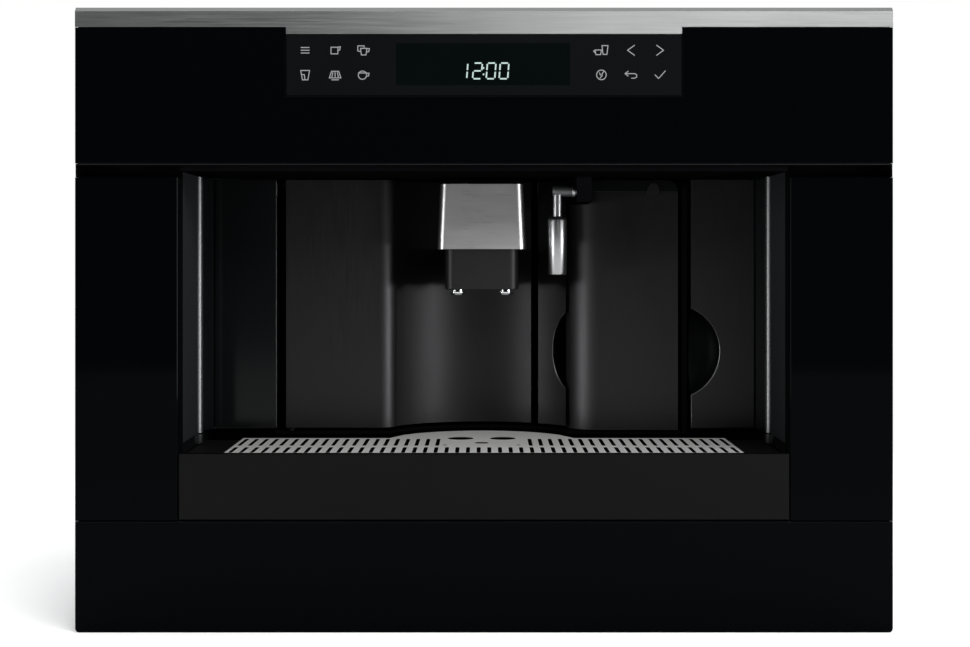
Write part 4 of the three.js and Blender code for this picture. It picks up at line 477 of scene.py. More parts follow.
# the case and what is in it
GREY = grained("grey glass-filled polyamide", "#1f2022", 0.6, 0.6, 0.01)
SMOKED = clear_plastic("smoked transparent SAN", "#3a3f42", 0.12, gloss=0.25)
SMOKED_MATT = clear_plastic("frosted smoked SAN", "#24282a", 0.42, gloss=0.15)
# red float plastic, darkened to its look in shade: partly its own red, partly painted shade
RED_IN_PAINTED_SHADE = grained("red polypropylene darkened for painted shade", "#3d100d", 0.4)
GALVANISED = galvanised_sheet()
MOTOR_BLACK = grained("black-passivated steel", "#121213", 0.55, 0.6, 0.003, metallic=0.4, gloss=0.05)
SCREW = grained("zinc-plated steel", "#b6bbc0", 0.28, 0.5, 0.002, metallic=1.0)
ALUMINIUM = grained("die-cast aluminium", "#a6a8aa", 0.42, 0.9, 0.02, metallic=1.0)
BURR = brushed("ground tool steel", "#7b7f83", 0.28, X, line=0.3)
BOARD = circuit_board()
# printing that is lit from behind
INK = printed_ink("grey printed marks", "#a9adad", 0.85)
DIGITS = printed_ink("lit display segments", "#c4dcd8", 1.0)

for material, nodes in [  # every CAD node that stays, by the material it is made of
    (GALVANISED, "cabinet_rail_left cabinet_rail_right sliding_rail_left sliding_rail_right"),
    (GALVANISED, "machine_rail_left machine_rail_right base_pan side_panel_left side_panel_right"),
    (GLASS, "upper_glass column_glass_left column_glass_right lower_glass"), (LENS, "control_panel"),
    (GRAINED_BLACK, "top_cover door_frame spout_rail"), (GLOSS_BLACK, "tray_bay"),
    (CEILING_BLACK, "front_frame service_bay steam_block"), (TRAY_BLACK, "drip_tray"),
    (BOARD, "display_board power_board"),
]:
    for node in nodes.split():
        NODES[node].data.materials.clear()
        NODES[node].data.materials.append(material)


# ---------- door, wave and alcove

def alcove(x, offset=0.0):
    """Depth of the alcove's circular arc at x, moved back by offset."""
    return ALCOVE_DEPTH + np.sqrt((ALCOVE_R + offset) ** 2 - (x - ALCOVE_X) ** 2)


def door_line(offset):
    """The door's face in plan: a flat, a quarter circle of radius ROLL and the alcove's arc."""
    roll = arc((FLAT_END, FACE + ROLL), ROLL - offset, 270, 360, 16)
    x = np.linspace(ALCOVE_LEFT - offset + 0.02, DOOR_RIGHT, 60)
    bowl = np.stack([x, alcove(x, offset)], axis=1)
    return np.concatenate([[[DOOR_LEFT, FACE + offset]], roll, bowl])


def make_door():
    """The service door's face, bent from one sheet that follows the wave."""
    sheet = 1.9
    plate = np.concatenate([door_line(0.0), door_line(sheet)[::-1]])
    finish_piece("door_face", prism(plate, PANEL_LOW, PANEL_HIGH), "door", DARK_STEEL,
                 "door_panel", sharp=28, bevel=0.35)


def make_grid():
    """The slotted grid, with the walls inside its slots and cup holes painted near black: painted shade.

    Walls that touch each other are found by giving every wall face its own number and letting the
    lower number of two neighbours win until nothing changes; the outermost wall is the one that
    holds the face furthest left, and all the others are inside a hole.
    """
    grid = smoothed("drip_grid", GRID_STEEL)
    data = grid.data
    faces = len(data.polygons)
    wall = np.abs(of_faces(grid, "normal")[:, 2]) < 0.5
    edge_of_corner = np.empty(len(data.loops), dtype=np.int64)
    data.loops.foreach_get("edge_index", edge_of_corner)
    total = np.empty(faces, dtype=np.int64)
    data.polygons.foreach_get("loop_total", total)
    face_of_corner = np.repeat(np.arange(faces), total)
    kept = wall[face_of_corner]
    edges, owners = edge_of_corner[kept], face_of_corner[kept]
    order = np.argsort(edges, kind="stable")
    edges, owners = edges[order], owners[order]
    same = edges[1:] == edges[:-1]
    a, b = owners[:-1][same], owners[1:][same]
    number = np.arange(faces)
    for _ in range(faces):
        lower = np.minimum(number[a], number[b])
        after = number.copy()
        np.minimum.at(after, a, lower)
        np.minimum.at(after, b, lower)
        if np.array_equal(after, number):
            break
        number = after
    left = np.where(wall, centres(grid)[:, 0], np.inf)
    # every slot and hole wall except the outermost gets the near black of painted shade
    picked(grid, wall & (number != number[np.argmin(left)]), SLOT_SHADE_PAINT)


def make_screws():
    """The case's sheet metal screws, low domes with a round recess: the profile (radius, height)
    goes round each screw's own axis."""
    def heads(base, way, axis, places):
        dome = [(0, 0.6), (1.5, 0.6), (1.7, 1.4), (2.6, 1.3), (3.4, 0.8), (3.7, 0.0)]
        profile = [(radius, base + way * height) for radius, height in dome]
        return several(*(revolved(profile, place, axis, steps=20) for place in places))

    back, side, top = 357.0, 260.0, 448.0  # where the case's faces are
    behind = [(x, z) for x in (-250, 0, 250) for z in (12, 432)] + [(-250, 222), (250, 222)]
    beside = [(depth, z) for depth in (32, 190, 348) for z in (60, 434)]
    above = [(x, depth) for x in (-250, 250) for depth in (30, 190, 348)] + [(0, 30), (0, 348)]
    both_sides = several(heads(side, 1, "x", beside), heads(-side, -1, "x", beside))
    finish_piece("back_screws", heads(back, 1, "depth", behind), "machine", SCREW)
    finish_piece("side_screws", both_sides, "machine", SCREW)
    finish_piece("top_screws", heads(top, 1, "z", above), "machine", SCREW)


def make_front_details():
    """Small parts of the front: the tray's bar with its top in a darker matt black, the darkness
    painted shade, the satin lip under the upper glass, the frame's cheeks that close the finger
    gaps' outer ends, the inside of the back painted black as painted shade, and the trim's upper
    edge darkened as painted shade."""
    bar = smoothed("tray_front", TRAY_BLACK)
    # the bar's top faces get a darker matt black: the matt is a finish, the darkness painted shade
    picked(bar, centres(bar)[:, 2] > box_of("tray_front")[1][2] - 3, CEILING_BLACK)

    under = box_of("upper_glass")[0][2]
    lip = blocks([[-296.2, 296.2, 1.2, 4.4, under - 1.0, under - 0.05]])
    finish_piece("glass_lip", lip, "machine", SATIN_BLACK, bevel=0.2)
    end_wall, rebate = [296.0, 297.3, 1.0, 20.0, 331.4, 341.1], [286.0, 296.4, 16.5, 20.0, 326.0, 346.0]
    right = np.array([end_wall, rebate])
    left = right[:, [1, 0, 2, 3, 4, 5]] * [-1, -1, 1, 1, 1, 1]
    finish_piece("frame_cheeks", blocks(np.concatenate([left, right])), "machine", CEILING_BLACK,
                 bevel=0.2)

    back = smoothed("back_panel", GALVANISED)
    # the back panel's inward faces get the matt black of painted shade
    picked(back, of_faces(back, "normal")[:, 1] < -0.7, INSIDE_SHADE_PAINT)
    trim = smoothed("trim_strip", TRIM, sharp=25)
    # the trim's up-facing faces get the darker steel of painted shade
    picked(trim, of_faces(trim, "normal")[:, 2] > 0.2, TRIM_TOP_SHADE)


def make_alcove_panel():
    """The fixed part of the alcove: front depth f(x, z) is the arc, or the finger scoop where an
    ellipsoid about a point right of the edge lies deeper; the scoop's inside is painted dark as
    painted shade. The rim runs where the two meet, a bead thickened at its lower half by a bell
    curve in z, which paints a highlight there."""
    low, high = box_of("alcove_panel")
    scoop_x, half_width, half_height = 74.8, 20.0, 33.8
    scoop_depth = alcove(65.8)
    x = np.linspace(low[0], high[0], 50)
    z = np.concatenate([[low[2]], np.linspace(SCOOP_Z - 34.0, SCOOP_Z + 34.0, 150), [high[2]]])
    across, up = np.meshgrid(x, z)
    left = 1 - ((across - scoop_x) / half_width) ** 2 - ((up - SCOOP_Z) / half_height) ** 2
    scoop = scoop_depth + SCOOP_R * np.sqrt(np.clip(left, 0, None))
    front = np.where(left > 0, np.maximum(alcove(across), scoop), alcove(across))
    rings = np.empty((len(z), len(x) + 2, 3))
    rings[:, :-2] = np.stack([across, front, up], axis=2)
    for place, side in ((-2, high[0]), (-1, low[0])):
        rings[:, place] = np.stack([np.full_like(z, side), np.full_like(z, high[1]), z], axis=1)
    strip = finish_piece("alcove_strip", skin(rings), "machine", DARK_STEEL, "alcove_panel")
    middle = centres(strip)
    wall = alcove(np.clip(middle[:, 0], low[0], ALCOVE_RIGHT))
    # the scoop's inside faces, behind the arc, get the darker steel of painted shade
    picked(strip, middle[:, 1] > wall + 0.05, BOWL_SHADE_PAINT)

    x = np.linspace(low[0] + 0.2, high[0] - 0.2, 400)
    reach = 1 - ((x - scoop_x) / half_width) ** 2 - ((alcove(x) - scoop_depth) / SCOOP_R) ** 2
    x = x[reach > 0]
    rise = half_height * np.sqrt(reach[reach > 0])
    rim = np.concatenate([np.column_stack([x, alcove(x), SCOOP_Z + rise])[::-1],
                          np.column_stack([x, alcove(x), SCOOP_Z - rise])])[::3]
    # the bead is thicker at its lower half, where it paints a highlight
    painted_highlight_radius = 0.2 + 0.4 * np.exp(-((rim[:, 2] - SCOOP_Z + 24) / 11) ** 2)
    finish_piece("alcove_strip_rim", tube(rim, painted_highlight_radius), "machine", RIM_STEEL)


def make_right_panel():
    """The panel right of the tank: a flat sheet with a bowl pressed into it, front depth
    f = 20 * sqrt(1 - r^2) behind the face, r in scoop radii from a point left of its edge; the
    bowl's inside is painted dark as painted shade. Its bright edge runs down the side and round
    the bowl, thicker round its lower part, which paints a highlight there."""
    low, high = box_of("niche_panel_right")
    bowl_x, deep, sheet = 151.0, 20.0, 2.0
    x = np.linspace(low[0], high[0], 90)
    z = np.concatenate([[low[2]], np.linspace(SCOOP_Z - 38.5, SCOOP_Z + 38.5, 170), [high[2]]])
    across, up = np.meshgrid(x, z)
    r2 = (across - bowl_x) ** 2 + (up - SCOOP_Z) ** 2
    front = FACE + deep * np.sqrt(np.clip(1 - r2 / SCOOP_R ** 2, 0, None))
    bulge = (deep + sheet) * np.sqrt(np.clip(1 - r2 / (SCOOP_R + sheet) ** 2, 0, None))
    back = FACE + np.maximum(2.5, bulge)
    rings = np.concatenate([np.stack([across, front, up], axis=2),
                            np.stack([across, back, up], axis=2)[:, ::-1]], axis=1)
    panel = finish_piece("right_panel", skin(rings), "machine", DARK_STEEL,
                         "niche_panel_right")
    middle = centres(panel)
    away = np.hypot(middle[:, 0] - bowl_x, middle[:, 2] - SCOOP_Z)
    # the bowl's inside faces get the darker steel of painted shade
    picked(panel, (middle[:, 1] > FACE + 0.3) & (away < SCOOP_R), BOWL_SHADE_PAINT)

    side = low[0] + 0.5
    turn = math.degrees(math.acos((side - bowl_x) / SCOOP_R))
    rim = arc((bowl_x, SCOOP_Z), SCOOP_R, turn, -turn, 48)
    rim = np.concatenate([[[side, high[2] - 0.6]], rim, [[side, 163.0], [side, low[2] + 0.6]]])
    rim = np.column_stack([rim[:, 0], np.full(len(rim), FACE + 0.25), rim[:, 1]])
    # the edge is thicker near z 180 and below z 165, where it paints a highlight
    painted_highlight_radius = 0.16 + 0.5 * np.exp(-((rim[:, 2] - 180) / 15) ** 2) + 0.1 * (rim[:, 2] < 165)
    finish_piece("right_panel_rim", tube(rim, painted_highlight_radius), "machine", RIM_STEEL)


def make_liner():
    """The moulded liner with its ceiling left matt and the flat of its side walls in a lighter black,
    painted sheen, the edge of its left panel, and the steel beads that stand where its side walls
    begin to curve: half circles of 4.6 mm in plan, in an upper and a lower length."""
    liner = smoothed("niche_liner", GLOSS_BLACK)
    middle = centres(liner)
    ceiling = middle[:, 2] > 335.5
    picked(liner, ceiling, CEILING_BLACK)
    # the side walls' flats get the lighter black of painted sheen
    picked(liner, (np.abs(middle[:, 0]) > 221.5) & (middle[:, 1] < 100) & ~ceiling, WALL_SHEEN_PAINT)

    low, high = box_of("niche_panel_left")
    panel = soft_rectangle(low[0], high[0], low[1], low[1] + 4, 1.4, 6)
    panel = np.concatenate([panel[panel[:, 1] <= high[1] + 0.01], [[low[0], high[1]], [high[0], high[1]]]])
    away = panel - panel.mean(axis=0)
    panel = panel[np.argsort(np.arctan2(away[:, 1], away[:, 0]))]
    finish_piece("left_panel", prism(panel, low[2], high[2]), "machine", GLOSS_BLACK,
                 "niche_panel_left")
    x, depth = high[0] - 0.4, low[1] + 0.5
    edge = [[x, depth, low[2] + 0.5], [x, depth, high[2] - 0.5]]
    finish_piece("left_panel_rim", tube(edge, 0.5), "machine", DARK_STEEL)

    for side in (-1, 1):
        bead = arc((side * 223.6, 91.0), 4.6, 90 + side * 8, 90 + side * 172, 18)
        for part, foot, top, steel in (("upper", 136.4, 335.6, BEAD), ("lower", 127.9, 135.3, DARK_STEEL)):
            name = f"liner_bead_{part}_" + ("left" if side < 0 else "right")
            finish_piece(name, prism(bead, foot, top), "machine", steel)


# ---------- coffee spout

def u_line(half, front, corner, x_scale, back):
    """A U in plan, open at the back: left leg, two rounded front corners, right leg."""
    left = arc((-half + corner, front + corner), corner, 180, 270, 10)
    right = arc((half - corner, front + corner), corner, 270, 360, 10)
    line = np.concatenate([[[-half, back]], left, right, [[half, back]]])
    line[:, 0] = line[:, 0] * x_scale + ALCOVE_X
    return line


def make_spout():
    """A steel cover that narrows upwards, and the moulded block that slides below it.

    The cover is a U in plan whose width shrinks with height by 4.6 mm in all, closed by a lid. The
    block is a prism with a T-slot for its rail, and each outlet a profile (radius, height) that
    goes round its own axis.
    """
    low, high = box_of("spout_cover")
    half, front, wall, corner = 34.8, 94.0, 1.5, 6.6
    narrower, gap = 4.6, 0.4  # gap is left between the cover and the alcove behind it
    heights = np.array([0.0, 0.5, 1.0]) * (high[2] - wall - low[2]) + low[2]
    taper = 1 - (heights - low[2]) / (high[2] - low[2]) * narrower / (2 * half)
    rings = []
    for z, scale in zip(heights, taper):
        outer = u_line(half, front, corner, scale, 0)
        inner = u_line(half - wall, front + wall, corner - wall, scale, 0)
        for line in (outer, inner):
            line[[0, -1], 1] = alcove(line[[0, -1], 0], -gap)
        ring = np.concatenate([outer, inner[::-1]])
        rings.append(np.column_stack([ring, np.full(len(ring), z)]))
    lid_line = u_line(half, front, corner, taper[-1], 0)
    x = np.linspace(lid_line[-1, 0], lid_line[0, 0], 24)
    lid = np.concatenate([lid_line[1:-1], np.stack([x, alcove(x, -gap)], axis=1)])
    hood = several(skin(np.array(rings)), prism(lid, high[2] - wall, high[2]))
    finish_piece("spout_hood", hood, "door", SPOUT_STEEL, "spout_cover", bevel=0.4)

    low, high = box_of("spout_block")
    outline = soft_rectangle(low[0], high[0], low[1], high[1], 8.0, 10)
    head, neck = 14.5, 8.5  # half widths of the T-slot
    slot_front, slot_back = 135.0, 142.0
    notch = np.array([
        [-neck, high[1]], [-neck, slot_back], [-head, slot_back], [-head, slot_front],
        [head, slot_front], [head, slot_back], [neck, slot_back], [neck, high[1]],
    ]) + [ALCOVE_X, 0]
    turn = 11  # the outline passes the middle of the back between its first two corners
    outline = np.concatenate([outline[:turn], notch[::-1], outline[turn:]])
    shorter = 1.6  # ends this much above its solid, so that the outlets show below it
    finish_piece("spout_body", prism(outline, low[2] + shorter, high[2]), "spout", SPOUT_BLACK,
                 "spout_block", bevel=1.2, segments=3)

    for side in ("left", "right"):
        low, high = box_of("nozzle_" + side)
        centre = (low + high) / 2
        foot, collar = low[2], 245.6
        profile = [(2.4, foot + 3), (2.4, foot + 0.5), (3.0, foot), (4.6, foot), (5.2, foot + 0.4),
                   (6.2, foot + 1.3), (6.6, foot + 2.4), (6.6, collar), (5.0, collar + 0.1),
                   (5.0, high[2]), (2.4, high[2])]
        finish_piece("outlet_" + side, revolved(profile, centre, turn=True), "spout", CHROME,
                     "nozzle_" + side, sharp=40)


# ---------- water tank and steam pipe

def make_tank():
    """The tank's face, one sheet rolled round its left edge by a quarter circle; its lid and the
    tab on it. Above the step the face starts further right, clear of the steam pipe's bearing."""
    low, high = box_of("tank_front")
    radius, sheet = 26.0, 2.0
    step_x, step_z = 84.0, 315.5
    centre = (low[0] + radius, FACE + radius)
    outer = np.concatenate([arc(centre, radius, 180, 270, 30), [[high[0], FACE]]])
    inner = np.concatenate([[[high[0], FACE + sheet]], arc(centre, radius - sheet, 270, 180, 30)])
    full = prism(np.concatenate([outer, inner]), low[2], step_z)

    def at_step(r):
        return [[step_x, centre[1] - math.sqrt(r ** 2 - (step_x - centre[0]) ** 2)]]

    step = np.concatenate([at_step(radius), outer[outer[:, 0] > step_x],
                           inner[inner[:, 0] > step_x], at_step(radius - sheet)])
    finish_piece("tank_face", several(full, prism(step, step_z, high[2])), "tank", DARK_STEEL,
                 "tank_front", sharp=28)

    low, high = box_of("tank_lid")
    outline = np.concatenate([
        [[low[0], low[2]], [high[0], low[2]]],
        arc((high[0] - 9, high[2] - 9), 9, 0, 90, 12),
        arc((low[0] + 2, high[2] - 2), 2, 90, 180, 5),
    ])
    finish_piece("tank_cap", prism(outline, low[1], high[1], "depth"), "tank", GLOSS_BLACK,
                 "tank_lid", bevel=0.5)
    tab = [(128.6, 323.2), (140.4, 323.2), (140.4, 328.6), (138.4, 332.2), (133.2, 332.6), (130.6, 327.6)]
    finish_piece("lid_tab", prism(tab, low[1] - 0.9, low[1] + 0.3, "depth"), "tank", SATIN_BLACK,
                 bevel=0.3)


def make_steam_pipe():
    """A bent steam pipe with its swivel ring, and the tapered froth sleeve pushed onto it: profiles
    (radius, place along the axis) that go round the pipe's arm and its leg."""
    x, depth, z = 57.3, 92.0, 324.6  # where the arm's and the leg's axes meet
    ring_start, ring_end, arm_end = 68.8, 71.9, 80.2
    arm = revolved([(0, x - 4.2), (2.6, x - 4.0), (3.8, x - 3.2), (4.2, x - 2.0), (4.2, ring_start),
                    (4.6, ring_start), (4.8, ring_start + 0.3), (4.8, ring_end - 0.3), (4.6, ring_end),
                    (4.2, ring_end), (4.2, arm_end), (0, arm_end)], (depth, z), "x")
    leg = revolved([(0, 268.0), (2.8, 268.0), (3.6, 268.8), (3.6, z), (0, z)], (x, depth))
    pipe = finish_piece("steam_tube", several(arm, leg), "steam_arm", PIPE_STEEL, "steam_pipe",
                        sharp=40)
    middle = centres(pipe)
    elbow = (middle[:, 0] > x - 4) & (middle[:, 0] < ring_start - 0.1) & (middle[:, 2] > z - 4.3)
    picked(pipe, elbow, ELBOW_STEEL)

    profile = [(3.9, 259.4), (6.2, 259.4), (6.7, 259.6), (7.0, 260.1), (7.6, 301.6), (7.4, 302.6),
               (6.8, 303.8), (6.2, 304.5), (5.4, 304.7), (3.9, 304.7)]
    sleeve = revolved(profile, (x, depth), steps=64, turn=True)
    finish_piece("froth_sleeve", sleeve, "frother", PIPE_STEEL, "frother_sleeve", sharp=40)


# ---------- display and touch marks

PRINT_DEPTH = 0.4  # the control lens's front face
INK_THICK = 0.06
UPPER, LOWER = 423.6, 405.7  # heights of the two rows of marks


def strokes(lines, width):
    """Flat printed lines: each (x0, z0)-(x1, z1) is a bar of that width, longer by half the width
    at each end, and as thick as the ink in front of the lens."""
    lines = np.asarray(lines, dtype=float)
    start, end = lines[:, :2], lines[:, 2:]
    way = end - start
    way /= np.linalg.norm(way, axis=1, keepdims=True)
    side = np.stack([-way[:, 1], way[:, 0]], axis=1) * width / 2
    reach = way * width / 2
    start, end = start - reach, end + reach
    corners = np.stack([start - side, end - side, end + side, start + side], axis=1)
    points = np.empty((len(lines), 8, 3))
    points[..., [0, 2]] = np.tile(corners, (1, 2, 1))
    points[:, :4, 1], points[:, 4:, 1] = PRINT_DEPTH - INK_THICK, PRINT_DEPTH
    return boxed(points)


def path(*points, closed=False):
    """Rows (x0, z0, x1, z1) along a line of points."""
    points = np.asarray(points, dtype=float)
    ends = np.roll(points, -1, axis=0) if closed else points[1:]
    return np.concatenate([points[:len(ends)], ends], axis=1)


def loop(x, z, radius, steps=20):
    """Rows (x0, z0, x1, z1) round a circle."""
    return path(*arc((x, z), radius, 0, 360, steps))


def touch_marks():
    """Generic pictograms in two rows of three on each side of the display, in mm from each mark's
    own middle."""
    bar = [path((-2.9, h), (2.9, h)) for h in (2.0, 0.0, -2.0)]
    small_cup = [path((-3, 2.2), (2, 2.2), (2, -2.6), (-3, -2.6), closed=True),
                 path((2, 2.2), (3.8, 2.6), (3.4, 0.2), (2, 0.0))]
    pair = [path((-4.2, 3.2), (0.4, 3.2), (0.4, 2.2)), path((-4.2, 3.2), (-4.2, -0.4), (-2.6, -0.9)),
            path((-2.2, 1.4), (2.4, 1.4), (1.8, -3.4), (-1.6, -3.4), closed=True),
            path((2.4, 1.2), (4.2, 1.2), (3.8, -1.0), (2.2, -1.2))]
    glass = [path((-3.2, 3.2), (3.2, 3.2), (2.0, -3.6), (-2.0, -3.6), closed=True),
             path((-2.4, 0.2), (-0.6, 0.2), (-0.2, -3.2))]
    steam = [path((-4.2, -2.2), (-2.6, 2.6), (2.6, 2.6), (4.2, -2.2), closed=True)]
    steam += [path((x, 1.6), (x * 1.35, -1.4)) for x in (-1.7, 0.0, 1.7)]
    steam += [path((-2.4, -3.6), (2.4, -3.6))]
    bowl = [loop(-0.8, -0.2, 3.0, 22), path((-3.6, 1.4), (2.0, 1.4)),
            path((2.0, 1.2), (4.0, 1.2), (3.6, -0.8), (2.0, -1.0))]
    drinks = [path((0.4, 3.4), (4.8, 3.4), (4.0, -3.0), (1.2, -3.0), closed=True),
              path((-4.6, 0.2), (0.0, 0.2), (-0.6, -3.2), (-4.0, -3.2), closed=True),
              path((-4.6, 0.0), (-5.6, -0.6), (-4.6, -1.8))]
    before = [path((2.4, 3.6), (-2.6, 0.0), (2.4, -3.6))]
    after = [path((-2.4, 3.6), (2.6, 0.0), (-2.4, -3.6))]
    strength = [loop(0, 0, 3.5), path((1.6, 2.4), (0.4, 0.6), (0.6, -0.6), (-1.0, -2.2)),
                path((-1.4, 1.4), (-0.6, -0.2))]
    back = [path((-2.2, 2.6), (-4.4, 0.9), (-2.2, -0.8)), path((-4.4, 0.9), (2.6, 0.9)),
            path((2.6, 0.9), (4.0, 0.2), (4.0, -1.6), (2.6, -2.4), (0.4, -2.4))]
    tick = [path((-3.6, 0.0), (-1.0, -2.6), (3.8, 2.8))]
    places = [
        (-130.1, UPPER, bar), (-108.3, UPPER, small_cup), (-87.6, UPPER, pair),
        (-130.1, LOWER, glass), (-108.3, LOWER, steam), (-87.6, LOWER, bowl),
        (85.4, UPPER, drinks), (107.0, UPPER, before), (128.0, UPPER, after),
        (85.4, LOWER, strength), (107.0, LOWER, back), (128.0, LOWER, tick),
    ]
    return np.concatenate([np.concatenate(mark) + [x, z, x, z] for x, z, mark in places])


# the seven bars of a digit, each from one corner (u, v) to another: a is the top one, b to f go
# round clockwise from it, and g is the middle one
SEGMENTS = {
    "a": ((0, 1), (1, 1)), "b": ((1, 1), (1, 0.5)), "c": ((1, 0.5), (1, 0)), "d": ((0, 0), (1, 0)),
    "e": ((0, 0.5), (0, 0)), "f": ((0, 1), (0, 0.5)), "g": ((0, 0.5), (1, 0.5)),
}
CLOCK = [(-12.6, "fe"), (-8.3, "abged"), (1.6, "abcdef"), (11.0, "abcdef")]  # left end, bars lit


def clock_digits():
    """The time 12:00 in slanted bars: point (u, v) of a digit goes to (left + wide u + slant v,
    foot + tall v), and each bar's line stops 1.15 mm short of its corners."""
    wide, slant, foot, tall, short = 6.2, 0.9, 402.9, 11.4, 1.15
    rows = []
    for left, lit in CLOCK:
        for name in lit:
            start, end = (np.array([left + wide * u + slant * v, foot + tall * v])
                          for u, v in SEGMENTS[name])
            way = (end - start) / np.linalg.norm(end - start) * short
            rows.append(np.concatenate([start + way, end - way]))
    colon = [np.array([-0.35, z, -0.35, z + 0.15]) for z in (406.0, 410.6)]
    return np.array(rows + colon)


def make_controls():
    """The display's window, its digits and the touch marks, printed on the lens."""
    film = 0.03
    window = soft_rectangle(-64, 62.6, 398.2, 428.8, 1.0, 4)
    window = prism(window, PRINT_DEPTH - film, PRINT_DEPTH, "depth")
    finish_piece("display_window", window, "machine", DISPLAY)
    finish_piece("touch_marks", strokes(touch_marks(), 0.62), "machine", INK)
    finish_piece("clock", strokes(clock_digits(), 1.05), "machine", DIGITS)


make_door()
make_grid()
make_screws()
make_front_details()
make_alcove_panel()
make_right_panel()
make_liner()
make_spout()
make_tank()
make_steam_pipe()
make_controls()

for material, slot, nodes in [  # the pieces inside the case, and the others with round parts
    # the float's red carries painted shade
    (RED_IN_PAINTED_SHADE, "red_plastic", "tray_float"),
    (SMOKED, "smoked_plastic", "water_tank bean_hopper pressure_hose"),
    (SMOKED_MATT, "smoked_plastic", "hopper_lid"),
    (GRAINED_BLACK, "black_plastic", "grinder_housing grind_knob infuser_frame water_pump power_inlet"),
    (SATIN_BLACK, "black_plastic", "grounds_container switch_rocker"),
    (GREY, "grey_plastic", "brew_chamber"),
    (BURR, "burr_steel", "lower_burr upper_burr drive_spindle"),
    (MOTOR_BLACK, "galvanised", "grinder_motor"), (GALVANISED, "galvanised", "brew_motor"),
    (ALUMINIUM, "aluminium", "thermoblock"),
]:
    for node in nodes.split():
        smoothed(node, material)


# ---------- studio

def white_to_the_eye(tree):
    """1 for camera, mirror and glass rays, which see the studio as plain white, 0 for the rest."""
    rays = add(tree, "ShaderNodeLightPath")
    seen = add(tree, "ShaderNodeMath", {"operation": "MAXIMUM"},
               {0: rays.outputs["Is Camera Ray"], 1: rays.outputs["Is Glossy Ray"]})
    return add(tree, "ShaderNodeMath", {"operation": "MAXIMUM"},
               {0: seen.outputs[0], 1: rays.outputs["Is Transmission Ray"]}).outputs[0]


def sweep_paper():
    """White paper: matt under the object, where its shadow lies, and going over into plain white
    from near_edge to far_edge metres from it."""
    near_edge, far_edge = 0.5, 1.3
    material = bpy.data.materials.new("white paper sweep")
    tree = empty_tree(material)
    paper = add(tree, "ShaderNodeBsdfDiffuse", {"Color": linear("#f2f2f2"), "Roughness": 0.5})
    white = add(tree, "ShaderNodeEmission", {"Color": (1, 1, 1, 1), "Strength": 1.0})
    where = add(tree, "ShaderNodeTexCoord")
    away = add(tree, "ShaderNodeVectorMath", {"operation": "LENGTH"}, {0: where.outputs["Object"]})
    span = {"From Min": near_edge, "From Max": far_edge}
    fade = add(tree, "ShaderNodeMapRange", {"interpolation_type": "SMOOTHSTEP", **span},
               {"Value": away.outputs["Value"]})
    share = add(tree, "ShaderNodeMath", {"operation": "MULTIPLY"},
                {0: fade.outputs["Result"], 1: white_to_the_eye(tree)})
    both = add(tree, "ShaderNodeMixShader",
               links={0: share.outputs[0], 1: paper.outputs[0], 2: white.outputs[0]})
    add(tree, "ShaderNodeOutputMaterial", links={"Surface": both.outputs[0]})
    return material


def velvet():
    """Black cloth on a flag, which mirrors see as dark."""
    material = bpy.data.materials.new("black velvet")
    tree = empty_tree(material)
    cloth = add(tree, "ShaderNodeBsdfDiffuse", {"Color": linear("#060606"), "Roughness": 1.0})
    add(tree, "ShaderNodeOutputMaterial", links={"Surface": cloth.outputs["BSDF"]})
    return material


def stage_piece(name, points, faces, material):
    """The floor or a backdrop from its points in metres, which isn't part of the object."""
    data = bpy.data.meshes.new(name)
    data.from_pydata(points, [], faces)
    data.materials.append(material)
    piece = shown(name, data)
    return piece


def area_lamp(name, place, aim, size, power):
    """A white rectangular lamp at place, turned to aim: metres and watts."""
    lamp = bpy.data.lights.new(name, "AREA")
    lamp.shape = "RECTANGLE"
    lamp.size, lamp.size_y = size
    lamp.energy = power
    holder = shown(name, lamp)
    holder.location = place
    holder.rotation_euler = (Vector(aim) - Vector(place)).to_track_quat("-Z", "Y").to_euler()
    return holder


LAMPS = [  # name, place, aim, width and height, watts
    ("front softbox", (0.68, -1.5, 1.25), (0, 0, 0.2), (1.5, 0.6), 27),
    ("overhead softbox", (0.0, 0.1, 2.0), (0, 0, 0), (1.8, 1.4), 30),
    ("right tall strip", (1.75, -0.6, 0.5), (-0.2, -0.09, 0.25), (0.2, 1.0), 6),
    ("left tall strip", (-1.75, -0.6, 0.5), (0.2, -0.09, 0.25), (0.2, 1.0), 1.5),
    ("right low strip", (1.48, -0.95, 0.125), (-0.05, -0.05, 0.2), (0.36, 0.19), 10.5),
    ("left low strip", (-1.48, -0.95, 0.09), (0.05, -0.05, 0.2), (0.36, 0.17), 8),
    ("rear softbox", (0.0, 1.8, 1.3), (0, 0.1, 0.2), (1.8, 0.9), 26),
]


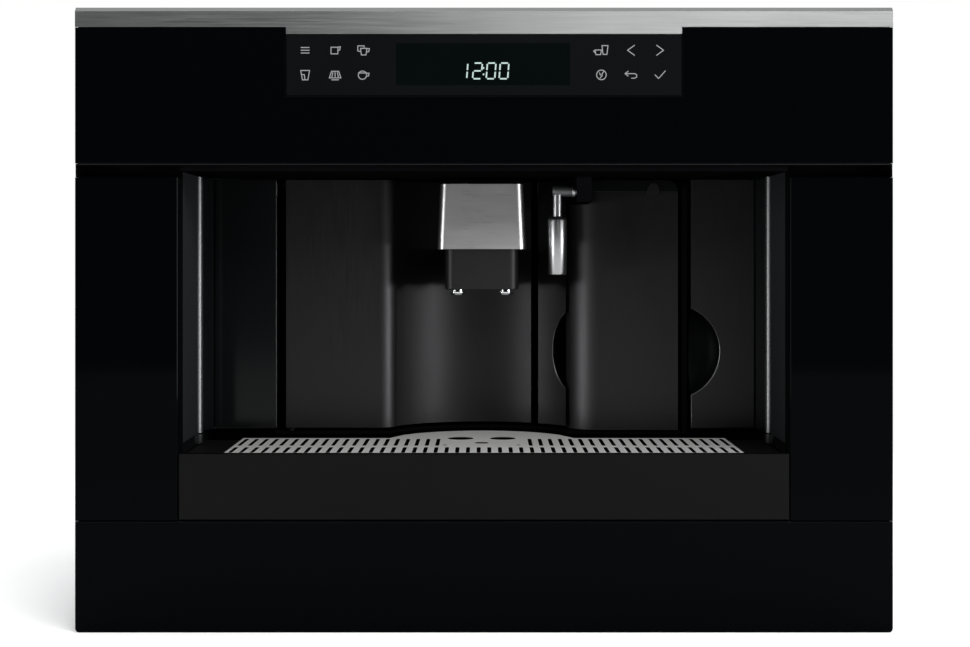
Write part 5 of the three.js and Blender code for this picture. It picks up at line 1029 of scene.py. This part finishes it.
def make_studio():
    """A white sweep and plain soft light: softboxes in front, above and behind, a tall and a low
    strip on each side that the rolled steel mirrors, a weak fill inside the niche, and a black
    flag round the front, a wall of posts on a circle, that keeps the glass dark."""
    stage_piece("floor", [(-6, -6, 0), (6, -6, 0), (6, 6, 0), (-6, 6, 0)], [[0, 1, 2, 3]], sweep_paper())
    world = bpy.data.worlds.new("studio air")
    bpy.context.scene.world = world
    tree = empty_tree(world)
    fill = add(tree, "ShaderNodeBackground", {"Color": (1, 1, 1, 1), "Strength": 0.4})
    white = add(tree, "ShaderNodeBackground", {"Color": (1, 1, 1, 1), "Strength": 1.0})
    both = add(tree, "ShaderNodeMixShader",
               links={0: white_to_the_eye(tree), 1: fill.outputs[0], 2: white.outputs[0]})
    add(tree, "ShaderNodeOutputWorld", links={"Surface": both.outputs[0]})

    for lamp in LAMPS:
        area_lamp(*lamp)
    niche_top, niche_floor = placed((0.0, 60.0, 333.0)), placed((0.0, 80.0, 100.0))
    glow = area_lamp("niche fill", niche_top, niche_floor, (0.36, 0.07), 0.14)
    for rays in ("glossy", "camera"):
        setattr(glow, "visible_" + rays, False)

    posts, radius, low, high = 29, 3.2, -0.3, 2.6
    turn = np.radians(np.linspace(-42, 34, posts))
    foot = np.stack([radius * np.sin(turn), -radius * np.cos(turn)], axis=1)
    points = np.concatenate([np.column_stack([foot, np.full(posts, z)]) for z in (low, high)])
    post = np.arange(posts - 1)
    faces = np.stack([post, post + 1, post + posts + 1, post + posts], axis=1)
    flag = stage_piece("black flag round the front", points.tolist(), faces.tolist(), velvet())
    for rays in ("camera", "diffuse", "shadow", "transmission"):
        setattr(flag, "visible_" + rays, False)


def make_camera():
    """A level camera 1.25 m from the fascia at eye height 272.5 mm, whose frame is shifted right
    by 1 pixel and down by 65.5."""
    image_width = 970
    data = bpy.data.cameras.new("camera")
    data.sensor_width = 36.0
    data.lens = 63.8
    data.shift_x = 1.0 / image_width
    data.shift_y = -65.5 / image_width
    camera = shown("camera", data)
    camera.location = placed((0.0, -1250.0, 272.5))
    camera.rotation_euler = (math.radians(90), 0, 0)
    bpy.context.scene.camera = camera


make_studio()
make_camera()

settings = bpy.context.scene.view_settings
settings.view_transform = "Standard"
